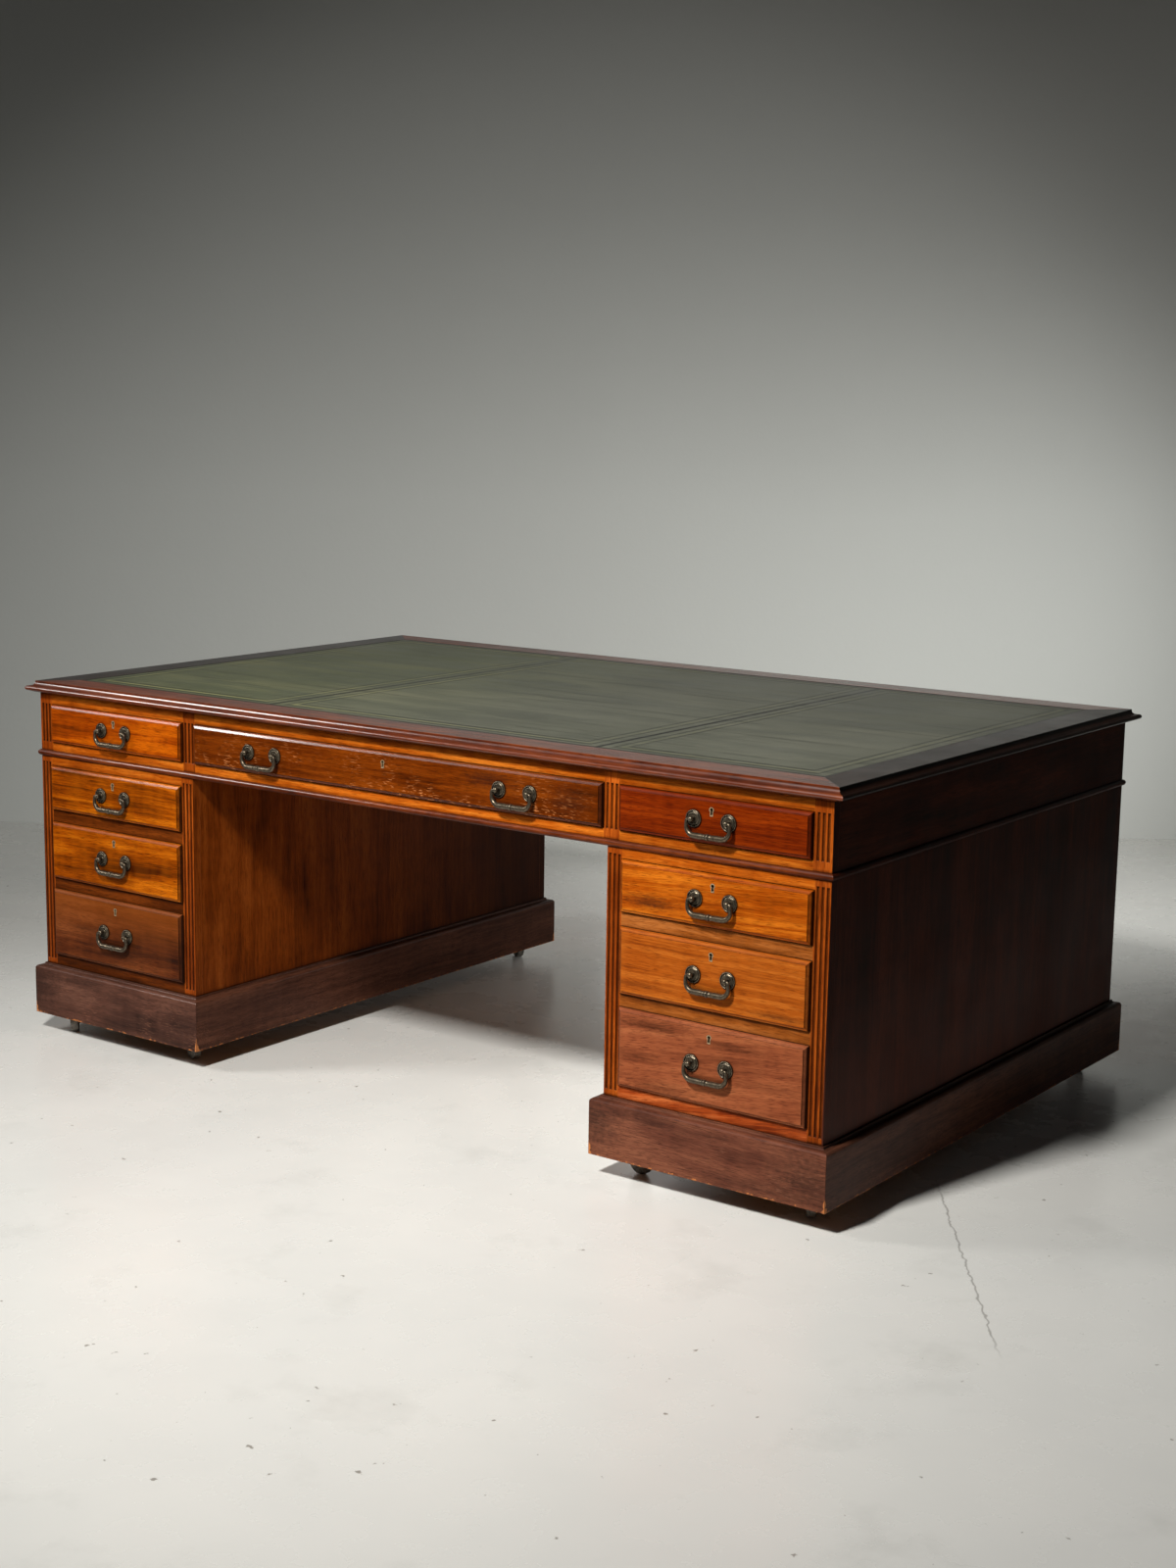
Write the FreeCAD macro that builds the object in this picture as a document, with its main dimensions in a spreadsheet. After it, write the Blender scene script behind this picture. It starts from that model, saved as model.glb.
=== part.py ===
import FreeCAD, Part
import Sketcher

import math
import os

# A partners desk: a leather-lined top with a frieze of drawers, standing on two pedestals.
# Each pedestal has three drawers towards one side and a cupboard towards the other, and runs
# on four plate casters hidden behind its plinth.
#
# Frame: millimetres, Z up from the floor, X along the length, the pedestal drawers open
# towards -Y. The origin is on the floor under the middle of the top.

# Driving dimensions: alias, value in millimetres (angles in degrees), what it measures.
DIMENSIONS = [
    # the top
    ("desk_height", 780, "floor to the writing surface"),
    ("top_length", 2030, "over the nosing"),
    ("top_depth", 1246, "over the nosing"),
    ("top_thick", 24, "border rails"),
    ("border_width", 86, "nosing to leather"),
    ("edge_step", 2, "upright under the top arris"),
    ("edge_cove", 8.5, "radius of the cove below it"),
    ("edge_ledge", 2.5, "flat between cove and nosing"),
    ("nosing_radius", 5, "half-round nosing"),
    ("nosing_slope", 9, "how far the underside slopes in behind the nosing"),
    ("panel_thick", 16, "ground panel under the leather"),
    ("tongue_thick", 6, "tongue round the ground panel"),
    ("tongue_length", 8, "tongue round the ground panel"),
    ("leather_thick", 1.2, "skiver"),
    ("leather_sink", 0.4, "leather below the border"),
    ("left_seam", 375, "middle of the desk to the left seam"),
    ("right_seam", 445, "middle of the desk to the right seam"),
    ("seam_gap", 0.3, "between two leather panels"),
    # the case, which frieze and pedestals share
    ("case_length", 1976, "over the end boards"),
    ("case_depth", 1206, "over the pilasters of both sides"),
    ("board", 20, "case boards, rails and pilasters"),
    ("inner_board", 12, "dust boards and partitions"),
    ("guide_height", 20, "strips that keep a drawer straight"),
    # the frieze
    ("frieze_height", 125, "waist moulding to the top"),
    ("frieze_top_rail", 23, "height"),
    ("frieze_low_rail", 18, "height"),
    ("end_pilaster", 37, "width"),
    ("mid_pilaster", 34, "width"),
    ("centre_opening", 1034, "width of the centre drawer's opening"),
    ("runner_width", 45, "boards under and over the frieze drawers' sides"),
    ("medial_rail", 20, "board between the frieze drawers of both sides"),
    ("waist_height", 13, "half-round moulding"),
    ("waist_proud", 6, "half-round moulding"),
    ("bearer_width", 60, "boards that sit on the pedestals' inner sides"),
    # the pedestals
    ("pedestal_width", 462, "over the side boards"),
    ("stile", 32, "pedestal pilasters"),
    ("case_top_rail", 19, "height"),
    ("upper_drawer", 98, "height of the opening"),
    ("upper_rail", 25, "height"),
    ("middle_drawer", 126, "height of the opening"),
    ("lower_rail", 23, "height"),
    ("bottom_rail", 23, "height"),
    ("shelf_height", 205, "cupboard floor to shelf"),
    ("shelf_front", 40, "shelf back from the door side"),
    ("flute_width", 6.4, "flutes of the pilasters"),
    ("flute_depth", 2.6, "flutes of the pilasters"),
    ("flute_slope", 38, "degrees, sides and ends of a flute"),
    ("flute_pitch", 10, "between two flutes"),
    ("flute_stop", 12, "flute ends from the ends of a pedestal pilaster"),
    # the plinths
    ("plinth_top", 154, "floor to the plinth's upper edge"),
    ("plinth_lift", 42, "floor to the plinth's lower edge"),
    ("plinth_proud", 19, "board planted round the case"),
    ("plinth_cove", 4, "cove of the plinth's upper edge"),
    ("plinth_ovolo", 7, "ovolo of the plinth's upper edge"),
    ("plinth_ledge", 4, "flats of the plinth's upper edge"),
    ("plinth_step", 1.5, "upright of the plinth's upper edge"),
    ("corner_block", 60, "blocks that carry the casters"),
    # drawers
    ("front_thick", 22, "drawer front"),
    ("front_proud", 9, "drawer front before the case"),
    ("front_gap", 1, "round the drawer front"),
    ("front_ovolo", 6.5, "moulded edge of the front"),
    ("field_inset", 8, "opening to the raised field"),
    ("field_rise", 1.5, "raised field above the moulded edge"),
    ("lining", 11, "drawer sides and back"),
    ("side_gap", 1.2, "drawer side to its guide"),
    ("side_drop", 6, "drawer side below the opening's top"),
    ("bottom_thick", 7, "drawer bottom"),
    ("slip", 9, "strips that carry the bottom"),
    ("drawer_room", 18, "drawer's back to the board behind it"),
    ("lock_width", 55, "brass case behind the front"),
    ("lock_height", 36, "brass case behind the front"),
    ("lock_thick", 9, "brass case behind the front"),
    ("key_drop", 21, "opening's top to the keyhole"),
    ("key_round", 4, "radius of the keyhole's head"),
    ("key_length", 10, "middle of the head to the end of the leg"),
    # bail handles
    ("centre_handle", 197, "end of the centre drawer to the middle of the handle near it"),
    ("handle_lift", 2, "handle above the middle of the drawer"),
    ("post_spacing", 72, "between the posts of a handle"),
    ("rose_radius", 15.5, "round plate under a post"),
    ("rose_rim", 2.4, "thickness"),
    ("post_radius", 2.8, "stem"),
    ("post_head", 4.2, "radius of the head"),
    ("post_reach", 11, "drawer front to the bail's axis"),
    ("bail_drop", 28, "bail's axis to the grip"),
    ("bail_bend", 16, "radius of the lower bend"),
    ("neck_bend", 4, "radius of the bend into the post"),
    ("neck_start", 4.5, "post's middle to the start of that bend"),
    ("grip_radius", 5.2, "beside its collar"),
    ("bend_radius", 4, "rod in the lower bend"),
    ("collar_radius", 6.2, "bead in the middle of the grip"),
    ("collar_length", 6, "bead in the middle of the grip"),
    ("pin_radius", 2.4, "end that turns in the post"),
    ("pin_play", 0.08, "radial play of a turning pin"),
    # cupboard doors
    ("door_thick", 22, "frame of the door"),
    ("door_stile", 60, "width"),
    ("door_panel", 9, "thickness"),
    ("panel_bevel", 34, "width of the fielding"),
    ("panel_rise", 4, "depth of the fielding"),
    ("door_gap", 1, "round the door"),
    ("leaf_thick", 1.5, "hinge leaf"),
    ("leaf_width", 16, "hinge leaf"),
    ("hinge_length", 63, "hinge knuckle"),
    ("hinge_play", 0.2, "between the leaves, and between two knuckles"),
    ("knuckle_radius", 4, "hinge knuckle"),
    ("hinge_pin", 1.6, "radius of the hinge's pin"),
    ("hinge_inset", 70, "door's end to the hinge"),
    # casters
    ("caster_seat", 58, "floor to the blocks"),
    ("caster_inset", 60, "plinth's faces to the pivot"),
    ("plate_width", 40, "square caster plate"),
    ("plate_thick", 3, "square caster plate"),
    ("pivot_radius", 4, "pin that the horn turns on"),
    ("pivot_head", 6.5, "radius of its riveted head"),
    ("pivot_head_thick", 3, "riveted head"),
    ("caster_play", 0.2, "above and below the horn's crown"),
    ("crown_thick", 3.6, "horn"),
    ("crown_half", 12, "horn, half its length"),
    ("cheek", 2.5, "horn"),
    ("trail", 17, "pivot to axle"),
    ("wheel_radius", 22, "wheel"),
    ("wheel_width", 15, "wheel"),
    ("wheel_play", 0.5, "wheel to cheek"),
    ("axle_radius", 3, "axle"),
    ("boss_radius", 6, "horn round the axle"),
    # which way each horn trails at rest, in degrees from +X
    ("turn_left_1", 313, "left pedestal, front outer"),
    ("turn_left_2", 160, "left pedestal, front inner"),
    ("turn_left_3", 75, "left pedestal, back outer"),
    ("turn_left_4", 150, "left pedestal, back inner"),
    ("turn_right_1", 128, "right pedestal, front outer"),
    ("turn_right_2", 50, "right pedestal, front inner"),
    ("turn_right_3", 150, "right pedestal, back outer"),
    ("turn_right_4", 60, "right pedestal, back inner"),
]

# What repeats most keeps to few faces: the flats round each kind of round piece. Rods are bails,
# posts and pins, and the bores that they turn in.
FLATS = {"ovolo": 2, "key": 6, "rod": 6, "knuckle": 8, "rose": 8, "wheel": 16}
KEY_NECK = 50  # degrees below level where the keyhole's head meets its leg

LEFT = "left"
RIGHT = "right"
Z_AXIS = FreeCAD.Vector(0, 0, 1)
X_AXIS = FreeCAD.Vector(1, 0, 0)
Y_AXIS = FreeCAD.Vector(0, 1, 0)

doc = FreeCAD.newDocument("partners_desk")
sheet = doc.addObject("Spreadsheet::Sheet", "Dims")
for row, (alias, value, note) in enumerate(DIMENSIONS, 1):
    sheet.set(f"A{row}", alias)
    sheet.set(f"B{row}", str(value))
    sheet.setAlias(f"B{row}", alias)
    sheet.set(f"C{row}", note)
doc.recompute()


# ---- sizes that stay tied to the sheet ----


class Size:
    """A number that also carries the sheet expression it comes from."""

    def __init__(self, value, text):
        self.value = value
        self.text = text

    def joined(self, sign, other, value):
        return Size(value, f"({self.text} {sign} {as_text(other)})")

    def __add__(self, other):
        return self.joined("+", other, self.value + as_value(other))

    def __sub__(self, other):
        return self.joined("-", other, self.value - as_value(other))

    def __mul__(self, other):
        return self.joined("*", other, self.value * as_value(other))

    def __truediv__(self, other):
        return self.joined("/", other, self.value / as_value(other))

    def __neg__(self):
        return self * -1


def as_value(size):
    return size.value if isinstance(size, Size) else size


def as_text(size):
    return size.text if isinstance(size, Size) else str(size)


class Dimensions:
    """Gives each cell of the sheet as a Size, by its alias."""

    def __getattr__(self, alias):
        return Size(getattr(sheet, alias), f"Dims.{alias}")


D = Dimensions()


def bind(item, path, size):
    """Ties a property, or a part of one, to the sheet."""
    item.setExpression(path, as_text(size))


def place(item, x=0, y=0, z=0):
    for axis, size in zip("xyz", (x, y, z)):
        bind(item, f"Placement.Base.{axis}", size)
    return item


# ---- how pieces are made ----


def board(name, across, deep, high):
    """A squared board between three pairs of limits, along X, Y and Z."""
    item = doc.addObject("Part::Box", name)
    corner = []
    for side, limits in zip(("Length", "Width", "Height"), (across, deep, high)):
        low, top = sorted(limits, key=as_value)
        bind(item, side, top - low if isinstance(top, Size) else -(low - top))
        corner.append(low)
    return place(item, *corner)


def tapered_board(name, across, deep, high, bevel):
    """A board that is bevelled on all four sides towards its face at the lower Y."""
    item = doc.addObject("Part::Wedge", name)
    (x0, x1), (z0, z1) = (sorted(limits, key=as_value) for limits in (across, high))
    bind(item, "Ymin", deep[0])
    bind(item, "Ymax", deep[1])
    for axis, low, top in (("X", x0, x1), ("Z", z0, z1)):
        bind(item, f"{axis}2min", low)
        bind(item, f"{axis}2max", top)
        bind(item, f"{axis}min", low + bevel)
        bind(item, f"{axis}max", top - bevel)
    return item


def rod(name, sides, axis, radius, length, x=0, y=0, z=0, turn=0):
    """A round bar with flats, its corners at the radius, from x, y, z along an axis."""
    item = doc.addObject("Part::Prism", name)
    item.Polygon = sides
    rotation = FreeCAD.Rotation(Z_AXIS, axis) * FreeCAD.Rotation(Z_AXIS, turn)
    item.Placement = FreeCAD.Placement(FreeCAD.Vector(), rotation)
    bind(item, "Circumradius", radius)
    bind(item, "Height", length)
    return place(item, x, y, z)


def around(radius, sides):
    """The corner radius of a bar whose flats touch a radius from outside."""
    return radius / math.cos(math.pi / sides)


def lofted(name, sides, rings):
    """A straight-sided loft through rings (x, y, z, rotation, radius), each a regular polygon."""
    sections = []
    for x, y, z, rotation, radius in rings:
        ring = doc.addObject("Part::RegularPolygon", f"{name}_ring")
        ring.Polygon = sides
        ring.Placement = FreeCAD.Placement(FreeCAD.Vector(), rotation)
        bind(ring, "Circumradius", radius)
        sections.append(place(ring, x, y, z))
    loft = doc.addObject("Part::Loft", name)
    loft.Sections = sections
    loft.Solid = True
    loft.Ruled = True
    loft.Linearize = True
    return loft


def fused(name, *pieces):
    item = doc.addObject("Part::MultiFuse", name)
    item.Shapes = list(pieces)
    return item


def cut(name, base, tool):
    item = doc.addObject("Part::Cut", name)
    item.Base = base
    item.Tool = tool
    return item


def group(name, pieces, x=0, y=0, z=0, turn=0):
    """Separate solids that stay separate, set down together and turned about Z."""
    item = doc.addObject("Part::Compound", name)
    item.Links = list(pieces)
    item.Placement = FreeCAD.Placement(FreeCAD.Vector(), FreeCAD.Rotation(Z_AXIS, as_value(turn)))
    if isinstance(turn, Size):
        bind(item, "Placement.Rotation.Angle", turn * 1)
    return place(item, x, y, z)


def new_body(name):
    return doc.addObject("PartDesign::Body", name)


def sketch_on(body, role, offset=0):
    """A sketch on one of the body's own origin planes, moved along its normal."""
    sketch = body.newObject("Sketcher::SketchObject", f"{body.Name}_sketch")
    plane = next(f for f in body.Origin.OriginFeatures if f.Role == role)
    sketch.AttachmentSupport = (plane, [""])
    sketch.MapMode = "FlatFace"
    bind(sketch, "AttachmentOffset.Base.z", offset)
    return sketch


def fix(sketch, size, kind, *elements):
    """Adds a constraint whose size is tied to the sheet."""
    index = sketch.addConstraint(Sketcher.Constraint(kind, *elements, float(as_value(size))))
    sketch.setExpression(f"Constraints[{index}]", as_text(size))


def arc_between(here, there, radius, turn):
    """The arc under half a turn from here to there, as an anticlockwise one."""
    start, stop = (here, there) if turn == LEFT else (there, here)
    chord = stop - start
    rise = math.sqrt(max(radius**2 - chord.Length**2 / 4, 0))
    centre = (start + stop) * 0.5 + FreeCAD.Vector(-chord.y, chord.x, 0).normalize() * rise
    first, last = (math.atan2(p.y - centre.y, p.x - centre.x) for p in (start, stop))
    if last < first:
        last += 2 * math.pi
    return Part.ArcOfCircle(Part.Circle(centre, Z_AXIS, radius), first, last)


def outline(sketch, corners):
    """A closed outline through corners (across, up), each tied to the sheet.

    A corner with a radius and a turn starts an arc to the next corner instead of a line.
    """
    points = [FreeCAD.Vector(as_value(c[0]), as_value(c[1]), 0) for c in corners]
    first = sketch.GeometryCount
    ends = []
    for index, corner in enumerate(corners):
        here, there = points[index], points[(index + 1) % len(points)]
        if len(corner) == 2:
            sketch.addGeometry(Part.LineSegment(here, there), False)
            ends.append((1, 2))
        else:
            sketch.addGeometry(arc_between(here, there, as_value(corner[2]), corner[3]), False)
            ends.append((1, 2) if corner[3] == LEFT else (2, 1))
    for index, corner in enumerate(corners):
        edge, after = first + index, (index + 1) % len(corners)
        joint = (edge, ends[index][1], first + after, ends[after][0])
        sketch.addConstraint(Sketcher.Constraint("Coincident", *joint))
        fix(sketch, corner[0], "DistanceX", -1, 1, edge, ends[index][0])
        fix(sketch, corner[1], "DistanceY", -1, 1, edge, ends[index][0])
        if len(corner) > 2:
            fix(sketch, corner[2], "Radius", edge)


def rectangle(sketch, across, up):
    (x0, x1), (y0, y1) = across, up
    outline(sketch, [(x0, y0), (x1, y0), (x1, y1), (x0, y1)])


def extrude(body, kind, sketch, length=None, side="One side", backwards=False):
    """A Pad or a Pocket, right through where no length is given."""
    item = body.newObject(f"PartDesign::{kind}", f"{body.Name}_{kind}")
    item.Profile = sketch
    item.SideType = side
    item.Reversed = backwards
    if length is None:
        item.Type = "ThroughAll"
    else:
        bind(item, "Length", length)
    return item


def mirrored(corners):
    """The same outline for a sketch whose first coordinate runs the other way."""
    swap = {LEFT: RIGHT, RIGHT: LEFT}
    return [(-c[0], c[1]) if len(c) == 2 else (-c[0], c[1], c[2], swap[c[3]]) for c in corners]


def mitred_frame(name, half_x, half_y, section, width):
    """Four moulded rails round a rectangle, mitred where they meet.

    The section's corners are (distance inwards from the outer face, height).
    """
    rails = []
    for side, plane, along, across, sign in (
        ("front", "YZ_Plane", half_x, half_y, -1),
        ("back", "YZ_Plane", half_x, half_y, 1),
        ("left", "XZ_Plane", half_y, half_x, -1),
        ("right", "XZ_Plane", half_y, half_x, 1),
    ):
        body = new_body(f"{name}_{side}")
        sketch = sketch_on(body, plane)
        corners = [(-across + c[0], *c[1:]) for c in section]
        outline(sketch, corners if sign < 0 else mirrored(corners))
        extrude(body, "Pad", sketch, along * 2, "Symmetric")
        ends = sketch_on(body, "XY_Plane")
        for end in (-1, 1):
            mitre = [
                (along * end, across * sign),
                (along * end, (across - width) * sign),
                ((along - width) * end, (across - width) * sign),
            ]
            outline(ends, mitre if plane == "YZ_Plane" else [(c[1], c[0]) for c in mitre])
        extrude(body, "Pocket", ends, None, "Symmetric")
        rails.append(body)
    return rails


# ---- heights and places that several pieces share ----

top_under = D.desk_height - D.top_thick
frieze_under = top_under - D.frieze_height
case_top = frieze_under - D.waist_height
half_length = D.case_length / 2
half_depth = D.case_depth / 2
frame_back = half_depth - D.board  # inner face of the rails and pilasters
half_centre = D.centre_opening / 2
frieze_floor = frieze_under + D.frieze_low_rail
frieze_ceiling = top_under - D.frieze_top_rail
frieze_opening = frieze_ceiling - frieze_floor
side_bay = (half_centre + D.mid_pilaster, half_length - D.end_pilaster)
pedestal_inner = half_length - D.pedestal_width
pedestal_middle = half_length - D.pedestal_width / 2
case_opening = D.pedestal_width - D.stile * 2
upper_ceiling = case_top - D.case_top_rail
upper_floor = upper_ceiling - D.upper_drawer
middle_ceiling = upper_floor - D.upper_rail
middle_floor = middle_ceiling - D.middle_drawer
lower_ceiling = middle_floor - D.lower_rail
lower_floor = D.plinth_top + D.bottom_rail
plinth_half = half_depth + D.plinth_proud
drawer_length = half_depth - D.medial_rail / 2 - D.drawer_room

NODES = {}


def node(name, pieces, x=0, y=0, z=0, turn=0):
    """One sub-part of the desk, under the name that its file gets."""
    NODES[name] = group(name, pieces, x, y, z, turn)


# ---- the top ----


def top_border():
    """Four mitred rails: a cove over a half-round nosing, grooved for the panel."""
    height, under, nose = D.desk_height, top_under, D.nosing_radius
    ledge_height = height - D.edge_step - D.edge_cove
    cove_end = nose + D.edge_ledge
    arris = cove_end + D.edge_cove
    groove = panel_top() - (D.panel_thick + D.tongue_thick) / 2
    width = D.border_width
    section = [
        (arris, height),
        (arris, height - D.edge_step, D.edge_cove, RIGHT),
        (cove_end, ledge_height),
        (nose, ledge_height, nose, LEFT),
        (nose * 0, ledge_height - nose, nose, LEFT),
        (nose, ledge_height - nose * 2),
        (nose + D.nosing_slope, under),
        (width, under),
        (width, groove),
        (width - D.tongue_length, groove),
        (width - D.tongue_length, groove + D.tongue_thick),
        (width, groove + D.tongue_thick),
        (width, height),
    ]
    node("top_border", mitred_frame("border", D.top_length / 2, D.top_depth / 2, section, width))


def panel_top():
    return D.desk_height - D.leather_sink - D.leather_thick


def top_panel():
    """Ground panel with a tongue all round."""
    half_x = D.top_length / 2 - D.border_width
    half_y = D.top_depth / 2 - D.border_width
    top = panel_top()
    groove = top - (D.panel_thick + D.tongue_thick) / 2
    panel = board("panel", (-half_x, half_x), (-half_y, half_y), (top - D.panel_thick, top))
    reach_x, reach_y = half_x + D.tongue_length, half_y + D.tongue_length
    across = (-reach_x, reach_x)
    tongue = board("tongue", across, (-reach_y, reach_y), (groove, groove + D.tongue_thick))
    node("top_panel", [fused("tongued_panel", panel, tongue)])


def leather_panels():
    """Three panels that meet at two seams."""
    half_x = D.top_length / 2 - D.border_width
    half_y = D.top_depth / 2 - D.border_width
    gap = D.seam_gap / 2
    limits = {
        "left": (-half_x, -D.left_seam - gap),
        "middle": (-D.left_seam + gap, D.right_seam - gap),
        "right": (D.right_seam + gap, half_x),
    }
    high = (panel_top(), panel_top() + D.leather_thick)
    pieces = [board(f"leather_{k}", v, (-half_y, half_y), high) for k, v in limits.items()]
    node("leather_panels", pieces)


# ---- pilasters and frame of the case ----


def pilaster(name, width, height, flute_low, flute_top):
    """A board with three flutes, their ends sloped; its face is at y = 0, its foot at z = 0."""
    body = new_body(name)
    sketch = sketch_on(body, "XZ_Plane")
    rectangle(sketch, (-width / 2, width / 2), (width * 0, height))
    extrude(body, "Pad", sketch, D.board, backwards=True)
    flutes = sketch_on(body, "XZ_Plane")
    for number in (-1, 0, 1):
        middle = D.flute_pitch * number
        across = (middle - D.flute_width / 2, middle + D.flute_width / 2)
        rectangle(flutes, across, (flute_low, flute_top))
    bind(extrude(body, "Pocket", flutes, D.flute_depth), "TaperAngle", -D.flute_slope)
    return body


def frieze_pilasters():
    """Eight pilasters; the flutes keep to the height of the drawers."""
    height, low = D.frieze_height, D.frieze_low_rail
    top = height - D.frieze_top_rail
    end = pilaster("end_pilaster_board", D.end_pilaster, height, low, top)
    mid = pilaster("mid_pilaster_board", D.mid_pilaster, height, low, top)
    end_x, mid_x = half_length - D.end_pilaster / 2, half_centre + D.mid_pilaster / 2
    copies = []
    for x, kind in ((-end_x, end), (-mid_x, mid), (mid_x, mid), (end_x, end)):
        for side, y, turn in (("front", -half_depth, 0), ("back", half_depth, 180)):
            copies.append(group(f"frieze_pilaster_{side}", [kind], x, y, frieze_under, turn))
    node("frieze_pilasters", copies)


def pedestal_pilasters():
    """Eight pilasters that also carry the plinth at their feet."""
    foot = D.caster_seat
    height = case_top - foot
    low, top = D.plinth_top + D.flute_stop - foot, height - D.flute_stop
    kind = pilaster("pedestal_pilaster_board", D.stile, height, low, top)
    copies = []
    for sign in (-1, 1):
        for x in (pedestal_inner + D.stile / 2, half_length - D.stile / 2):
            for side, y, turn in (("front", -half_depth, 0), ("back", half_depth, 180)):
                copies.append(group(f"pilaster_{side}", [kind], x * sign, y, foot, turn))
    node("pedestal_pilasters", copies)


def bays():
    """Left and right limits of the three frieze bays, as seen from the front."""
    near, far = side_bay
    return {"left": (-far, -near), "centre": (-half_centre, half_centre), "right": (near, far)}


def frieze_case():
    """End boards, and the rails over and under the six frieze drawers."""
    pieces = []
    for name, sign in (("left", -1), ("right", 1)):
        across = (half_length * sign, (half_length - D.board) * sign)
        high = (frieze_under, top_under)
        pieces.append(board(f"end_{name}", across, (-frame_back, frame_back), high))
    for bay, across in bays().items():
        for side, sign in (("front", -1), ("back", 1)):
            deep = (half_depth * sign, frame_back * sign)
            low, top = (frieze_under, frieze_floor), (frieze_ceiling, top_under)
            pieces.append(board(f"{side}_{bay}_low_rail", across, deep, low))
            pieces.append(board(f"{side}_{bay}_top_rail", across, deep, top))
    node("frieze_case", pieces)


def frieze_framing():
    """Medial rail, divisions, and what guides the frieze drawers behind the rails."""
    half_medial, half_board = D.medial_rail / 2, D.board / 2
    division = half_centre + D.mid_pilaster / 2
    inside = half_length - D.board
    whole = (frieze_under, top_under)
    pieces = [board("medial", (-inside, inside), (-half_medial, half_medial), whole)]
    # each bay's edge and the board behind its pilaster that the guide is fixed to
    edges = [
        (half_centre, division - half_board, -1),
        (side_bay[0], division + half_board, 1),
        (side_bay[1], inside, -1),
    ]
    for y_sign in (-1, 1):
        deep = (frame_back * y_sign, half_medial * y_sign)
        for x_sign in (-1, 1):
            across = ((division - half_board) * x_sign, (division + half_board) * x_sign)
            pieces.append(board("division", across, deep, whole))
            for edge, wall, into in edges:
                reach = ((wall + D.runner_width * into) * x_sign, wall * x_sign)
                guide = (edge * x_sign, wall * x_sign)
                rise = (frieze_floor, frieze_floor + D.guide_height)
                pieces.append(board("frieze_runner", reach, deep, (frieze_under, frieze_floor)))
                pieces.append(board("frieze_kicker", reach, deep, (frieze_ceiling, top_under)))
                pieces.append(board("frieze_guide", guide, deep, rise))
    for sign in (-1, 1):
        across = (pedestal_inner * sign, (pedestal_inner + D.bearer_width) * sign)
        bearer = board("bearer", across, (-frame_back, frame_back), (case_top, frieze_under))
        pieces.append(bearer)
    node("frieze_framing", pieces)


def waist_moulding():
    """Half-round moulding, mitred round the foot of the frieze."""
    radius = D.waist_height / 2
    width = D.board + D.waist_proud
    section = [
        (width, frieze_under),
        (radius, frieze_under, radius, LEFT),
        (radius * 0, case_top + radius, radius, LEFT),
        (radius, case_top),
        (width, case_top),
    ]
    half_x, half_y = half_length + D.waist_proud, half_depth + D.waist_proud
    node("waist_moulding", mitred_frame("waist", half_x, half_y, section, width))


# ---- the pedestals ----


def pedestal_rails():
    """Rails between the pilasters: four on the drawer side, two on the cupboard side."""
    rails = {
        "top": (upper_ceiling, case_top),
        "upper": (middle_ceiling, upper_floor),
        "lower": (lower_ceiling, middle_floor),
        "bottom": (D.plinth_top, lower_floor),
    }
    pieces = []
    for sign in (-1, 1):
        across = ((pedestal_inner + D.stile) * sign, (half_length - D.stile) * sign)
        for name, high in rails.items():
            front = (-half_depth, -frame_back)
            pieces.append(board(f"drawer_side_{name}_rail", across, front, high))
            if name in ("top", "bottom"):
                back = (frame_back, half_depth)
                pieces.append(board(f"door_side_{name}_rail", across, back, high))
    node("pedestal_rails", pieces)


def pedestal_case(name, sign):
    """Sides, top, bottom, partition, and the dust boards and guides of the drawers."""
    outer, inner = half_length * sign, pedestal_inner * sign
    outer_face = (half_length - D.board) * sign
    inner_face = (pedestal_inner + D.board) * sign
    full = (-frame_back, frame_back)
    half_partition = D.inner_board / 2
    drawers = (-frame_back, -half_partition)
    divide = (-half_partition, half_partition)
    within = (inner_face, outer_face)
    tall = (D.caster_seat, case_top)
    pieces = [
        board(f"{name}_outer_side", (outer, outer_face), full, tall),
        board(f"{name}_inner_side", (inner, inner_face), full, tall),
        board(f"{name}_top", within, full, (upper_ceiling, case_top)),
        board(f"{name}_bottom", within, full, (lower_floor - D.board, lower_floor)),
        board(f"{name}_partition", within, divide, (lower_floor, upper_ceiling)),
    ]
    walls = (
        (outer_face, (half_length - D.stile) * sign),
        (inner_face, (pedestal_inner + D.stile) * sign),
    )
    for floor in (upper_floor, middle_floor):
        pieces.append(board(f"{name}_dust_board", within, drawers, (floor - D.inner_board, floor)))
    for floor in (upper_floor, middle_floor, lower_floor):
        for wall in walls:
            high = (floor, floor + D.guide_height)
            pieces.append(board(f"{name}_guide", wall, drawers, high))
    shelf = lower_floor + D.shelf_height
    under_shelf = (half_partition, frame_back - D.shelf_front)
    for wall in walls:
        high = (shelf - D.guide_height, shelf)
        pieces.append(board(f"{name}_batten", wall, under_shelf, high))
    node(f"{name}_case", pieces)


def cupboard_shelves():
    """One shelf in each cupboard, on its battens."""
    pieces = []
    for sign in (-1, 1):
        across = ((pedestal_inner + D.board) * sign, (half_length - D.board) * sign)
        deep = (D.inner_board / 2, frame_back - D.shelf_front)
        floor = lower_floor + D.shelf_height
        pieces.append(board("shelf", across, deep, (floor, floor + D.inner_board)))
    node("cupboard_shelves", pieces)


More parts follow.
